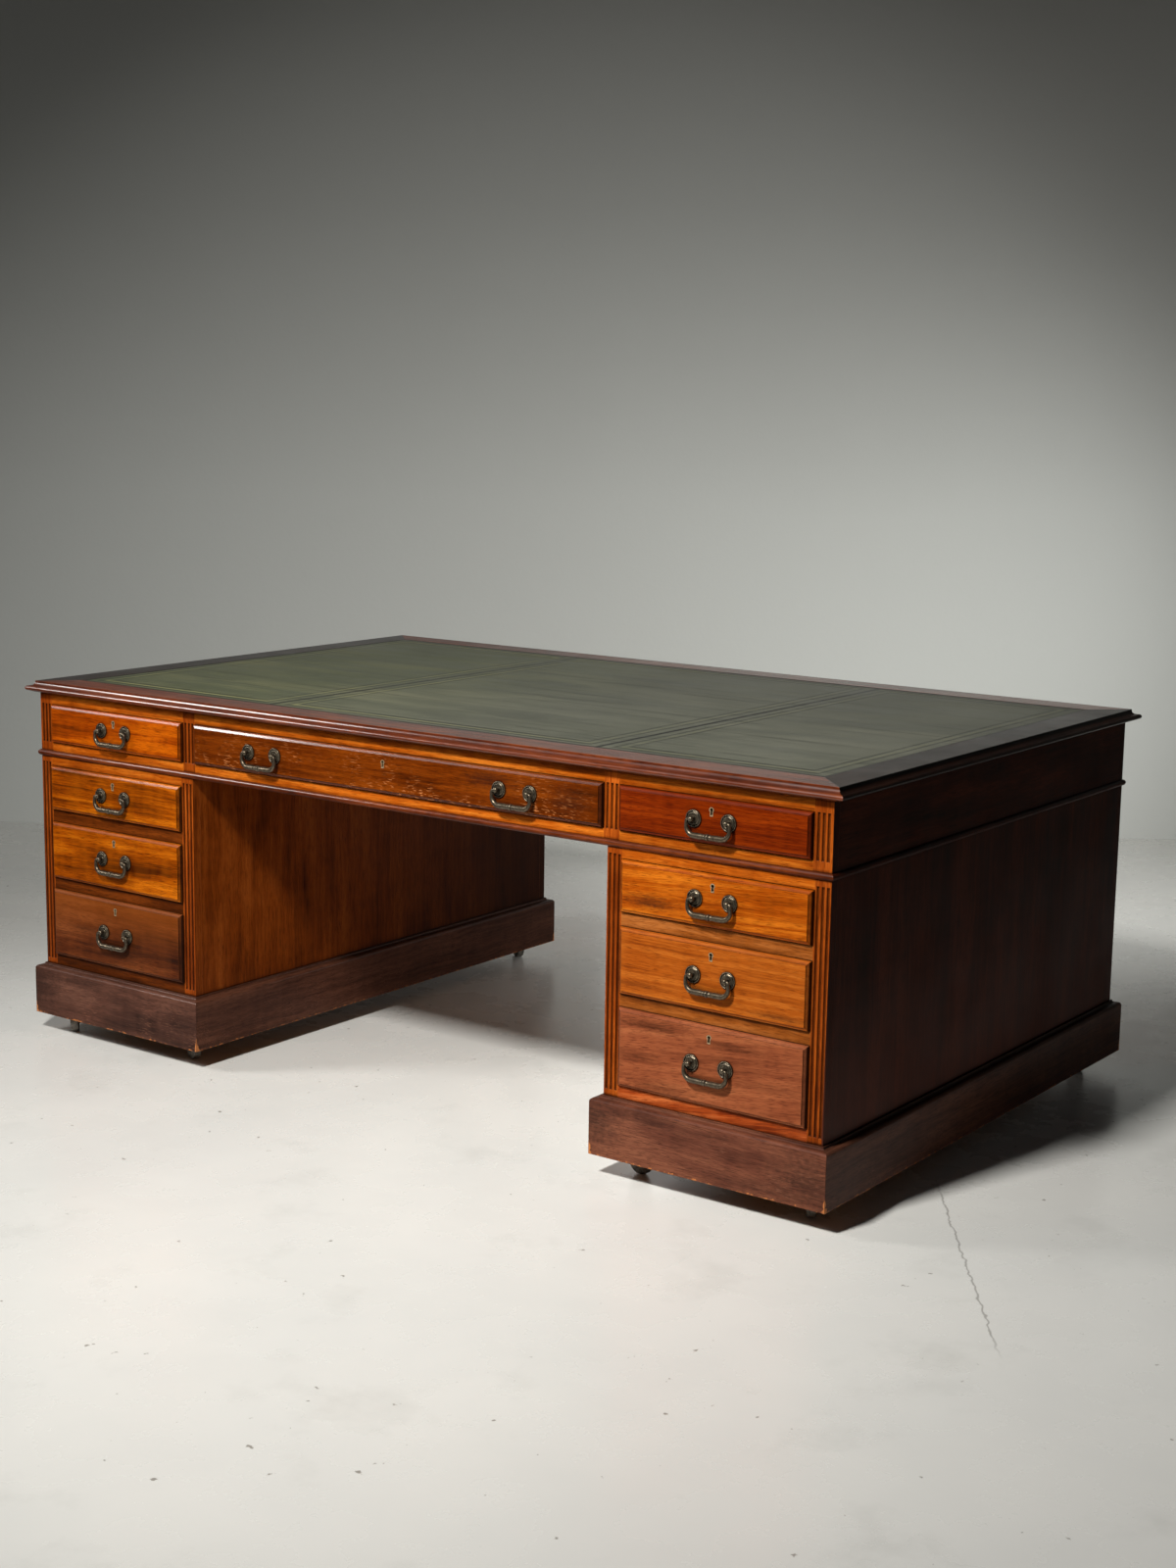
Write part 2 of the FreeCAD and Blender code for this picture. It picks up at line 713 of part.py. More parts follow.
def plinth(name, sign):
    """Four mitred boards with a stepped and moulded upper edge, and the caster blocks."""
    proud, top = D.plinth_proud, D.plinth_top
    ovolo_end = D.plinth_ovolo + D.plinth_ledge
    ledge = ovolo_end + D.plinth_cove
    low_ledge = top - D.plinth_step - D.plinth_cove
    section = [
        (proud, top),
        (ledge, top),
        (ledge, top - D.plinth_step, D.plinth_cove, RIGHT),
        (ovolo_end, low_ledge),
        (D.plinth_ovolo, low_ledge, D.plinth_ovolo, LEFT),
        (D.plinth_ovolo * 0, low_ledge - D.plinth_ovolo),
        (D.plinth_ovolo * 0, D.plinth_lift),
        (proud, D.plinth_lift),
    ]
    half_width = D.pedestal_width / 2
    pieces = mitred_frame(f"{name}_plinth", half_width + proud, plinth_half, section, proud)
    block_top = lower_floor - D.board
    for x_sign in (-1, 1):
        inside = (half_width - D.board) * x_sign
        across = (inside, (half_width - D.board - D.corner_block) * x_sign)
        for y_sign in (-1, 1):
            deep = (frame_back * y_sign, (frame_back - D.corner_block) * y_sign)
            block = board(f"{name}_block", across, deep, (D.caster_seat, block_top))
            pieces.append(block)
    node(f"{name}_plinth", pieces, x=pedestal_middle * sign)


# ---- handles and keyholes ----


def post():
    """A round rose and its post, bored across for the pin; the drawer's face is at y = 0."""
    out = FreeCAD.Rotation(X_AXIS, 90)
    rim, head, reach = D.rose_rim, D.post_head, D.post_reach
    rose_rings = [(rim * 0, D.rose_radius), (rim, D.rose_radius * 0.8)]
    stem_rings = [(rim, D.post_radius), (reach, head), (reach + head, head / 2)]
    rose = lofted("rose", FLATS["rose"], [(0, -y, 0, out, radius) for y, radius in rose_rings])
    stem = lofted("stem", FLATS["rod"], [(0, -y, 0, out, radius) for y, radius in stem_rings])
    bore_radius = around(D.pin_radius + D.pin_play, FLATS["rod"])
    bore = rod("post_bore", FLATS["rod"], X_AXIS, bore_radius, head * 4, x=-head * 2, y=-reach)
    return cut("post", fused("rose_and_stem", rose, stem), bore)


def bail():
    """A swan-neck bail, lofted through rings along its own line.

    It hangs in the plane y = 0 with its axis along X at the origin. The line runs from the
    bead of the grip through the lower bend, up the neck and into the post.
    """
    post_x, drop = D.post_spacing / 2, D.bail_drop
    neck_x = post_x + D.neck_start
    bend_x = neck_x + D.neck_bend - D.bail_bend
    pin = D.pin_radius

    line = [(D.collar_length / 2, -drop, 0, D.grip_radius)]
    for angle in (0, 45, 90):
        turn = math.radians(angle)
        across = bend_x + D.bail_bend * math.sin(turn)
        up = D.bail_bend * (1 - math.cos(turn)) - drop
        line.append((across, up, angle, D.bend_radius))
    for angle in (90, 135, 180):
        turn = math.radians(angle - 90)
        across = neck_x + D.neck_bend * math.cos(turn)
        up = D.neck_bend * (math.sin(turn) - 1)
        line.append((across, up, angle, pin))
    line.append((post_x - D.post_head * 1.3, post_x * 0, 180, pin))

    bead = (drop * 0, -drop, 0, D.collar_radius)
    mirror = [(-x, z, -angle, radius) for x, z, angle, radius in reversed(line)]
    rings = []
    corners_in_y = FreeCAD.Rotation(Z_AXIS, 90)
    for x, z, angle, radius in [*mirror, bead, *line]:
        rings.append((x, 0, z, FreeCAD.Rotation(Y_AXIS, 90 - angle) * corners_in_y, radius))
    return lofted("bail", FLATS["rod"], rings)


def cut_keyhole(body, offset, x, height):
    """Cuts a keyhole right through: a round head, with flats, over a straight leg."""
    corners = []
    for step in range(FLATS["key"] + 1):
        turn = math.radians(-KEY_NECK + (180 + 2 * KEY_NECK) * step / FLATS["key"])
        corners.append((x + D.key_round * math.cos(turn), height + D.key_round * math.sin(turn)))
    foot = height - D.key_length
    sketch = sketch_on(body, "XZ_Plane", offset)
    outline(sketch, [(corners[-1][0], foot), (corners[0][0], foot)] + corners)
    extrude(body, "Pocket", sketch)


# ---- drawers ----


def drawer_front(name, width, height):
    """A front with an ovolo edge and a raised field, its keyhole cut right through."""
    body = new_body(name)
    ovolo, shoulder = D.front_ovolo, D.front_proud - D.field_rise

    def layer(inset, start, length):
        sketch = sketch_on(body, "XZ_Plane", start)
        half = width / 2 - inset
        rectangle(sketch, (-half, half), (inset, height - inset))
        return extrude(body, "Pad", sketch, length)

    start = D.front_proud - D.front_thick
    layer(D.front_gap, start, shoulder - ovolo - start)
    for step in range(FLATS["ovolo"]):
        low, top = (math.pi / 2 * i / FLATS["ovolo"] for i in (step, step + 1))
        inset = D.front_gap + ovolo * (1 - math.cos(low))
        rise = ovolo * (math.sin(top) - math.sin(low))
        flat = layer(inset, shoulder - ovolo * (1 - math.sin(low)), rise)
        flat.TaperAngle = -math.degrees((low + top) / 2)
    layer(D.field_inset, shoulder, D.field_rise)
    cut_keyhole(body, D.front_proud, width * 0, height - D.key_drop)
    return body


def drawer(name, width, height, handles):
    """A drawer in its own frame: the case's face at y = 0, the opening's floor at z = 0."""
    outside = width / 2 - D.side_gap
    inside = outside - D.lining
    start, end = D.front_thick - D.front_proud, drawer_length
    side_top = height - D.side_drop
    bottom = D.slip
    deck = bottom + D.bottom_thick
    back = (end - D.lining, end)
    pieces = [drawer_front(f"{name}_front", width, height)]
    for hand, sign in (("left", -1), ("right", 1)):
        wall = (outside * sign, inside * sign)
        slip = (inside * sign, (inside - D.slip) * sign)
        pieces.append(board(f"{name}_{hand}_side", wall, (start, end), (height * 0, side_top)))
        pieces.append(board(f"{name}_{hand}_slip", slip, (start, end), (height * 0, bottom)))
    pieces.append(board(f"{name}_bottom", (-inside, inside), (start, end), (bottom, deck)))
    pieces.append(board(f"{name}_back", (-inside, inside), back, (deck, side_top)))
    key = height - D.key_drop
    half_lock = D.lock_width / 2
    lock_low = key - D.lock_height / 2
    lock = board(
        f"{name}_lock",
        (-half_lock, half_lock),
        (start, start + D.lock_thick),
        (lock_low, lock_low + D.lock_height),
    )
    pieces.append(lock)
    level = height / 2 + D.handle_lift
    for handle in handles:
        for sign in (-1, 1):
            x = handle + D.post_spacing / 2 * sign
            pieces.append(group(f"{name}_post", [POST], x, -D.front_proud, level))
    return pieces


def drawers_and_bails():
    """Twelve drawers and fourteen bails, each in its place."""
    middle = D.centre_handle * 0
    near, far = side_bay
    side_x = (near + far) / 2
    pair = (D.centre_handle - half_centre, half_centre - D.centre_handle)
    floors = {"upper": upper_floor, "middle": middle_floor, "lower": lower_floor}
    # each kind's width, height and places of its handles
    sizes = {
        "centre": (D.centre_opening, frieze_opening, pair),
        "side": (far - near, frieze_opening, (middle,)),
        "upper": (case_opening, D.upper_drawer, (middle,)),
        "middle": (case_opening, D.middle_drawer, (middle,)),
        "lower": (case_opening, lower_ceiling - lower_floor, (middle,)),
    }
    made = {kind: drawer(kind, *size) for kind, size in sizes.items()}

    places = []
    frieze_bays = (("left", "side", -side_x), ("centre", "centre", middle), ("right", "side", side_x))
    for view, y_sign, turn in (("front", -1, 0), ("back", 1, 180)):
        for bay, kind, x in frieze_bays:
            face = half_depth * y_sign
            places.append((f"frieze_{view}_{bay}", kind, x, face, frieze_floor, turn))
    for hand, sign in (("left", -1), ("right", 1)):
        for level, floor in floors.items():
            x = pedestal_middle * sign
            places.append((f"{hand}_{level}", level, x, -half_depth, floor, 0))

    for name, kind, x, y, floor, turn in places:
        _, height, handles = sizes[kind]
        node(f"{name}_drawer", made[kind], x, y, floor, turn)
        outwards = 1 if turn else -1
        axis_y = y + (D.front_proud + D.post_reach) * outwards
        axis_z = floor + height / 2 + D.handle_lift
        for handle in handles:
            side = {0: "", -1: "_a", 1: "_b"}[(handle.value > 0) - (handle.value < 0)]
            node(f"{name}_bail{side}", [BAIL], x - handle * outwards, axis_y, axis_z, turn)


# ---- cupboard doors ----


def hinge_parts(name, low, hand):
    """The fixed and the moving half of a butt hinge, its axis upright at x = 0, y = 0.

    The jamb is on the side that hand points to, and the case lies towards +Y.
    """
    play, radius, third = D.hinge_play, D.knuckle_radius, D.hinge_length / 3
    gap = play / 2
    leaf_deep = (radius * 0, radius + D.leaf_width)
    top = low + D.hinge_length
    middle_low, middle_top = low + third, low + third * 2
    clear = (-radius - play, radius + play)

    def leaf(part, side):
        across = (gap * side, (gap + D.leaf_thick) * side)
        return board(f"{name}_{part}_leaf", across, leaf_deep, (low, top))

    def barrel(part, length, foot):
        return rod(f"{name}_{part}_knuckle", FLATS["knuckle"], Z_AXIS, radius, length, z=foot)

    notch = board(f"{name}_notch", clear, clear, (middle_low - play, middle_top + play))
    fixed = fused(
        f"{name}_fixed",
        cut(f"{name}_fixed_notched", leaf("fixed", hand), notch),
        barrel("low", third - play, low),
        barrel("high", third - play, middle_top + play),
        rod(f"{name}_pin", FLATS["rod"], Z_AXIS, D.hinge_pin, D.hinge_length, z=low),
    )
    slots = fused(
        f"{name}_slots",
        board(f"{name}_low_slot", clear, clear, (low, middle_low)),
        board(f"{name}_high_slot", clear, clear, (middle_top, top)),
    )
    swinging = cut(f"{name}_moving_notched", leaf("moving", -hand), slots)
    bore_radius = around(D.hinge_pin + D.pin_play, FLATS["rod"])
    bore = rod(f"{name}_bore", FLATS["rod"], Z_AXIS, bore_radius, D.hinge_length, z=low)
    whole = fused(f"{name}_moving_solid", swinging, barrel("middle", third, middle_low))
    return fixed, cut(f"{name}_moving", whole, bore)


def keyed_stile(name, across, high, key_x, key_height):
    """The stile that a door shuts with, its keyhole cut right through."""
    body = new_body(name)
    sketch = sketch_on(body, "XZ_Plane")
    rectangle(sketch, across, high)
    extrude(body, "Pad", sketch, D.door_thick, backwards=True)
    cut_keyhole(body, D.door_thick * 0, key_x, key_height)
    return body


def door(name, hand):
    """A framed door in its own frame: the case's face at y = 0, the opening's floor at z = 0.

    It hangs on the side that hand points to. Returns the pieces that stay and those that swing.
    """
    width, height = case_opening, upper_ceiling - lower_floor
    jamb = width / 2 * hand
    hinge_gap = D.leaf_thick * 2 + D.hinge_play
    hung = (width / 2 - hinge_gap) * hand
    shut = (width / 2 - D.door_gap) * -hand
    low, top = D.door_gap, height - D.door_gap
    deep = (D.door_thick * 0, D.door_thick)
    stile = D.door_stile
    hung_in, shut_in = hung - stile * hand, shut + stile * hand
    key_height, key_x = height / 2, shut + stile / 2 * hand
    pieces = [
        board(f"{name}_hung_stile", (hung, hung_in), deep, (low, top)),
        keyed_stile(f"{name}_shut_stile", (shut, shut_in), (low, top), key_x, key_height),
        board(f"{name}_low_rail", (hung_in, shut_in), deep, (low, low + stile)),
        board(f"{name}_top_rail", (hung_in, shut_in), deep, (top - stile, top)),
    ]
    face = (D.door_thick - D.door_panel) / 2
    across, high = (hung_in, shut_in), (low + stile, top - stile)
    back = face + D.panel_rise
    flat = board(f"{name}_panel_back", across, (back, face + D.door_panel), high)
    field = tapered_board(f"{name}_field", across, (face, back), high, D.panel_bevel)
    pieces.append(fused(f"{name}_panel", flat, field))
    lock = board(
        f"{name}_lock",
        (key_x - D.lock_height / 2, key_x + D.lock_height / 2),
        (D.door_thick, D.door_thick + D.lock_thick),
        (key_height - D.lock_width / 2, key_height + D.lock_width / 2),
    )
    pieces.append(lock)
    fixed_pieces = []
    axis_x = jamb - (D.leaf_thick + D.hinge_play / 2) * hand
    axis_y = -(D.knuckle_radius + D.hinge_play)
    high_hinge = height - D.hinge_inset - D.hinge_length
    for level, foot in (("low", D.hinge_inset), ("high", high_hinge)):
        fixed, moving = hinge_parts(f"{name}_{level}_hinge", foot, hand)
        fixed_pieces.append(group(f"{name}_{level}_fixed_half", [fixed], axis_x, axis_y))
        pieces.append(group(f"{name}_{level}_moving_half", [moving], axis_x, axis_y))
    return fixed_pieces, pieces


def cupboard_doors():
    """Two doors on the far side, hung on the outer pilasters."""
    leaves = []
    for name, sign in (("left", -1), ("right", 1)):
        fixed, moving = door(f"{name}_door", -sign)
        spot = (pedestal_middle * sign, half_depth, lower_floor, 180)
        node(f"{name}_cupboard_door", moving, *spot)
        leaves.append(group(f"{name}_door_fixed_halves", fixed, *spot))
    node("door_hinge_halves", leaves)


# ---- casters ----


def caster_plate():
    """A square plate with the pivot pin riveted under the horn's crown."""
    half, under = D.plate_width / 2, D.caster_seat - D.plate_thick
    head_top = under - D.caster_play * 2 - D.crown_thick
    head_low = head_top - D.pivot_head_thick
    return fused(
        "caster_plate_and_pin",
        board("plate", (-half, half), (-half, half), (under, D.caster_seat)),
        rod("pivot_pin", FLATS["rod"], Z_AXIS, D.pivot_radius, under - head_low, z=head_low),
        rod("pivot_rivet", FLATS["rod"], Z_AXIS, D.pivot_head, D.pivot_head_thick, z=head_low),
    )


def caster_horn():
    """A forked horn that trails towards +X, with the wheel's axle riveted into it."""
    crown_top = D.caster_seat - D.plate_thick - D.caster_play
    crown_low = crown_top - D.crown_thick
    half, boss, trail, axle = D.crown_half, D.boss_radius, D.trail, D.wheel_radius
    body = new_body("horn")
    profile = sketch_on(body, "XZ_Plane")
    corners = [(-half, crown_top), (-half, crown_low - D.cheek)]
    for step in range(5):
        turn = math.pi * (1.125 + step / 4)
        corners.append((trail + boss * math.cos(turn), axle + boss * math.sin(turn)))
    corners += [(half + D.cheek, crown_low - D.cheek), (half + D.cheek, crown_top)]
    outline(profile, corners)
    slot = D.wheel_width + D.wheel_play * 2
    width = slot + D.cheek * 2
    extrude(body, "Pad", profile, width, "Symmetric")
    gap = sketch_on(body, "XZ_Plane")
    rectangle(gap, (-half * 2, trail + boss * 2), (axle * 0, crown_low))
    extrude(body, "Pocket", gap, slot, "Symmetric")
    hole_radius = around(D.pivot_radius + D.pin_play, FLATS["rod"])
    hole = rod("pivot_hole", FLATS["rod"], Z_AXIS, hole_radius, D.caster_seat)
    pin = rod("axle", FLATS["rod"], Y_AXIS, D.axle_radius, width, x=trail, y=-width / 2, z=axle)
    return fused("horn_and_axle", cut("bored_horn", body, hole), pin)


def caster_wheel():
    """A wheel that stands on one of its flats, turning about Y at the origin."""
    width = D.wheel_width
    tread = around(D.wheel_radius, FLATS["wheel"])
    half_flat = 180 / FLATS["wheel"]
    disc = rod("tread", FLATS["wheel"], Y_AXIS, tread, width, y=-width / 2, turn=half_flat)
    bore_radius = around(D.axle_radius + D.pin_play, FLATS["rod"])
    bore = rod("wheel_bore", FLATS["rod"], Y_AXIS, bore_radius, width, y=-width / 2)
    return cut("wheel", disc, bore)


def casters():
    """Eight plates, horns and wheels, the horns turned as the desk was last pushed."""
    plate, horn, wheel = caster_plate(), caster_horn(), caster_wheel()
    rolling = group("rolling_wheel", [wheel], D.trail, 0, D.wheel_radius)
    inset = D.plinth_proud - D.caster_inset
    plates = []
    for hand, sign in (("left", -1), ("right", 1)):
        outer, inner = (half_length + inset) * sign, (pedestal_inner - inset) * sign
        front, back = -(half_depth + inset), half_depth + inset
        corners = [("front_outer", outer, front), ("front_inner", inner, front)]
        corners += [("back_outer", outer, back), ("back_inner", inner, back)]
        for number, (corner, x, y) in enumerate(corners, 1):
            turn = getattr(D, f"turn_{hand}_{number}")
            plates.append(group("caster_plate", [plate], x, y))
            node(f"{hand}_{corner}_horn", [horn], x, y, 0, turn)
            node(f"{hand}_{corner}_wheel", [rolling], x, y, 0, turn)
    node("caster_plates", plates)


POST = post()
BAIL = bail()
top_border()
top_panel()
leather_panels()
frieze_case()
frieze_pilasters()
frieze_framing()
waist_moulding()
pedestal_rails()
pedestal_pilasters()
cupboard_shelves()
for hand, sign in (("left", -1), ("right", 1)):
    pedestal_case(hand, sign)
    plinth(hand, sign)
drawers_and_bails()
cupboard_doors()
casters()
doc.recompute()


# ---- check and write ----

for item in doc.Objects:
    if "Invalid" in item.State or "Error" in item.State:
        raise RuntimeError(f"{item.Name} failed: {item.State}")
for name, item in NODES.items():
    if item.Shape.isNull() or not item.Shape.isValid() or not item.Shape.Solids:
        raise RuntimeError(f"{name} has no valid solid")

os.makedirs("parts", exist_ok=True)
for name, item in NODES.items():
    item.Label = name
    item.Shape.exportStep(f"parts/{name}.step")
print(f"{len(NODES)} sub-parts, {sum(len(item.Shape.Solids) for item in NODES.values())} solids")
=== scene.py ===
import math

import bpy
from mathutils import Matrix, Vector


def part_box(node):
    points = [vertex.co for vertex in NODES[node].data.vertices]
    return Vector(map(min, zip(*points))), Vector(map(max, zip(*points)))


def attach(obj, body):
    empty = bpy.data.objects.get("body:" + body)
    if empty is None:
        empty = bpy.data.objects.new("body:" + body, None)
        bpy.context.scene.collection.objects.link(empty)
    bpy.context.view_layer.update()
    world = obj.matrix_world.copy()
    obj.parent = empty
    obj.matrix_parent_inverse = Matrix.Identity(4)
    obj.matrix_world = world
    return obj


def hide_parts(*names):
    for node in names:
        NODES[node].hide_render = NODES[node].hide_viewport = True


# The partners desk as it was photographed: french-polished mahogany and a worn green leather
# top on a pale floor, under a lamp high in front. Metres, Z up, the pedestal drawers face -Y.

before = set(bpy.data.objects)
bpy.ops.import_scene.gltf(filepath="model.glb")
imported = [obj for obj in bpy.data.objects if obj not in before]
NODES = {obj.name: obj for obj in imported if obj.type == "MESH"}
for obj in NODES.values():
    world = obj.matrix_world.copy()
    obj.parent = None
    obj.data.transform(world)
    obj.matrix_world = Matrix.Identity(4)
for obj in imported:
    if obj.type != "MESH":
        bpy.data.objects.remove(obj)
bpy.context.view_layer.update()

X, Y, Z = 0, 1, 2
SAME = 0.001  # places nearer to each other than this count as one


def low_high(node):
    """The lowest and the highest corner of a CAD node."""
    low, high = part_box(node)
    return Vector(low), Vector(high)


# ---- shading helpers ----


def tone(red, green, blue):
    """A colour given as it looks on a screen, 0 to 255, in the linear values a socket takes."""
    linear = []
    for value in (red, green, blue):
        value /= 255
        linear.append(value / 12.92 if value <= 0.04045 else ((value + 0.055) / 1.055) ** 2.4)
    return (*linear, 1.0)


class Shader:
    """Short names for the nodes that this script's materials are made of."""

    def __init__(self, name):
        self.material = bpy.data.materials.new(name)
        self.material.use_nodes = True
        self.tree = self.material.node_tree
        self.surface = self.tree.nodes["Principled BSDF"]
        self.place = self.add("TexCoord").outputs["Object"]

    def add(self, kind, inputs=None, **settings):
        node = self.tree.nodes.new(f"ShaderNode{kind}")
        for name, value in settings.items():
            setattr(node, name, value)
        for socket, value in (inputs or {}).items():
            self.plug(node.inputs[socket], value)
        return node

    def plug(self, socket, value):
        if isinstance(value, bpy.types.NodeSocket):
            self.tree.links.new(value, socket)
        else:
            socket.default_value = value

    def calc(self, operation, first, second=0.0):
        return self.add("Math", {0: first, 1: second}, operation=operation).outputs[0]

    def times(self, first, *others):
        for other in others:
            first = self.calc("MULTIPLY", first, other)
        return first

    def highest(self, first, *others):
        for other in others:
            first = self.calc("MAXIMUM", first, other)
        return first

    def vectors(self, operation, first, second=(0, 0, 0)):
        """Vector maths that gives a vector; SCALE takes a number second."""
        inputs = {0: first, "Scale" if operation == "SCALE" else 1: second}
        return self.add("VectorMath", inputs, operation=operation).outputs[0]

    def measure(self, operation, first, second=(0, 0, 0)):
        """Vector maths that gives a number."""
        inputs = {0: first, 1: second}
        return self.add("VectorMath", inputs, operation=operation).outputs["Value"]

    def along(self, axis, vector=None):
        return self.add("SeparateXYZ", {0: vector or self.place}).outputs[axis]

    def stretched(self, scale, shift=(0, 0, 0), turn=(0, 0, 0), place=None):
        vector = place or self.place
        inputs = {"Vector": vector, "Scale": scale, "Location": shift, "Rotation": turn}
        return self.add("Mapping", inputs).outputs[0]

    def noise(self, place, scale=1.0, detail=3.0, roughness=0.55, distortion=0.0):
        inputs = {
            "Vector": place,
            "Scale": scale,
            "Detail": detail,
            "Roughness": roughness,
            "Distortion": distortion,
        }
        return self.add("TexNoise", inputs).outputs[0]

    def waved(self, place, scale, reach):
        """The place pushed to and fro by a slow noise."""
        push = self.add("TexNoise", {"Vector": self.stretched(scale, place=place), "Detail": 1.0})
        centred = self.vectors("SUBTRACT", push.outputs[1], (0.5, 0.5, 0.5))
        return self.vectors("ADD", place, self.vectors("SCALE", centred, reach))

    def edges(self, width):
        """Near 1 on the edges of a solid and 0 on its faces."""
        rounded = self.add("Bevel", {"Radius": width}, samples=4).outputs[0]
        true = self.add("NewGeometry").outputs["True Normal"]
        return self.between(self.measure("DOT_PRODUCT", rounded, true), 0.97, 0.8)

    def crevices(self, reach, start, full):
        """Near 1 deep in grooves and inner corners, and 0 in the open."""
        open_to = self.add("AmbientOcclusion", {"Distance": reach}, samples=6).outputs["AO"]
        return self.between(open_to, start, full)

    def between(self, value, low, high, low_to=0.0, high_to=1.0):
        """The value moved from one range to another, and held inside it."""
        inputs = {0: value, 1: low, 2: high, 3: low_to, 4: high_to}
        return self.add("MapRange", inputs, clamp=True).outputs[0]

    def ramp(self, value, *stops):
        node = self.add("ValToRGB", {0: value})
        elements = node.color_ramp.elements
        while len(elements) < len(stops):
            elements.new(0.5)
        for element, (position, colour) in zip(elements, stops):
            element.position = position
            element.color = colour
        return node.outputs[0]

    def mix(self, share, first, second, blend="MIX"):
        node = self.add("Mix", data_type="RGBA", blend_type=blend)
        self.plug(node.inputs[0], share)
        self.plug(node.inputs[6], first)
        self.plug(node.inputs[7], second)
        return node.outputs[2]

    def finish(self, colour, roughness, height, depth, radius=0.0, **more):
        """Fills in the surface; its edges are shaded as if rounded to the radius."""
        self.plug(self.surface.inputs["Base Color"], colour)
        self.plug(self.surface.inputs["Roughness"], roughness)
        for name, value in more.items():
            self.plug(self.surface.inputs[name.replace("_", " ")], value)
        bump = self.add("Bump", {"Height": height, "Strength": 1.0, "Distance": depth})
        if radius:
            rounded = self.add("Bevel", {"Radius": radius}, samples=6).outputs[0]
            self.plug(bump.inputs["Normal"], rounded)
        self.plug(self.surface.inputs["Normal"], bump.outputs[0])
        return self.material


# ---- wood ----

# how often the parts of the figure change in a metre: (across the grain, along it)
WAVES = (7, 2.2)
CLOUDS = (16, 3.2)
STREAKS = (110, 2.4)
LINES = (330, 3.5)
PORES = (1300, 50)
RIPPLE = (6, 34)

APART = (5.3, 7.1, 3.7)  # the farthest that one solid's figure lies from another's
MIDDLE_SHADE = 0.49
WORN_WIDTH = 0.0014
FLAT_SPECULAR = 0.04
POLISH_CHANGE = (-0.8, 0.1)  # along X, from the polish at the left to that at the right
END_SHADE_AND_STAIN = tone(24, 9, 4)
SHADE_AND_OLD_WAX = tone(20, 7, 3)


def grain_scale(grain, across, along):
    scale = [across, across, across]
    scale[grain] = along
    return scale


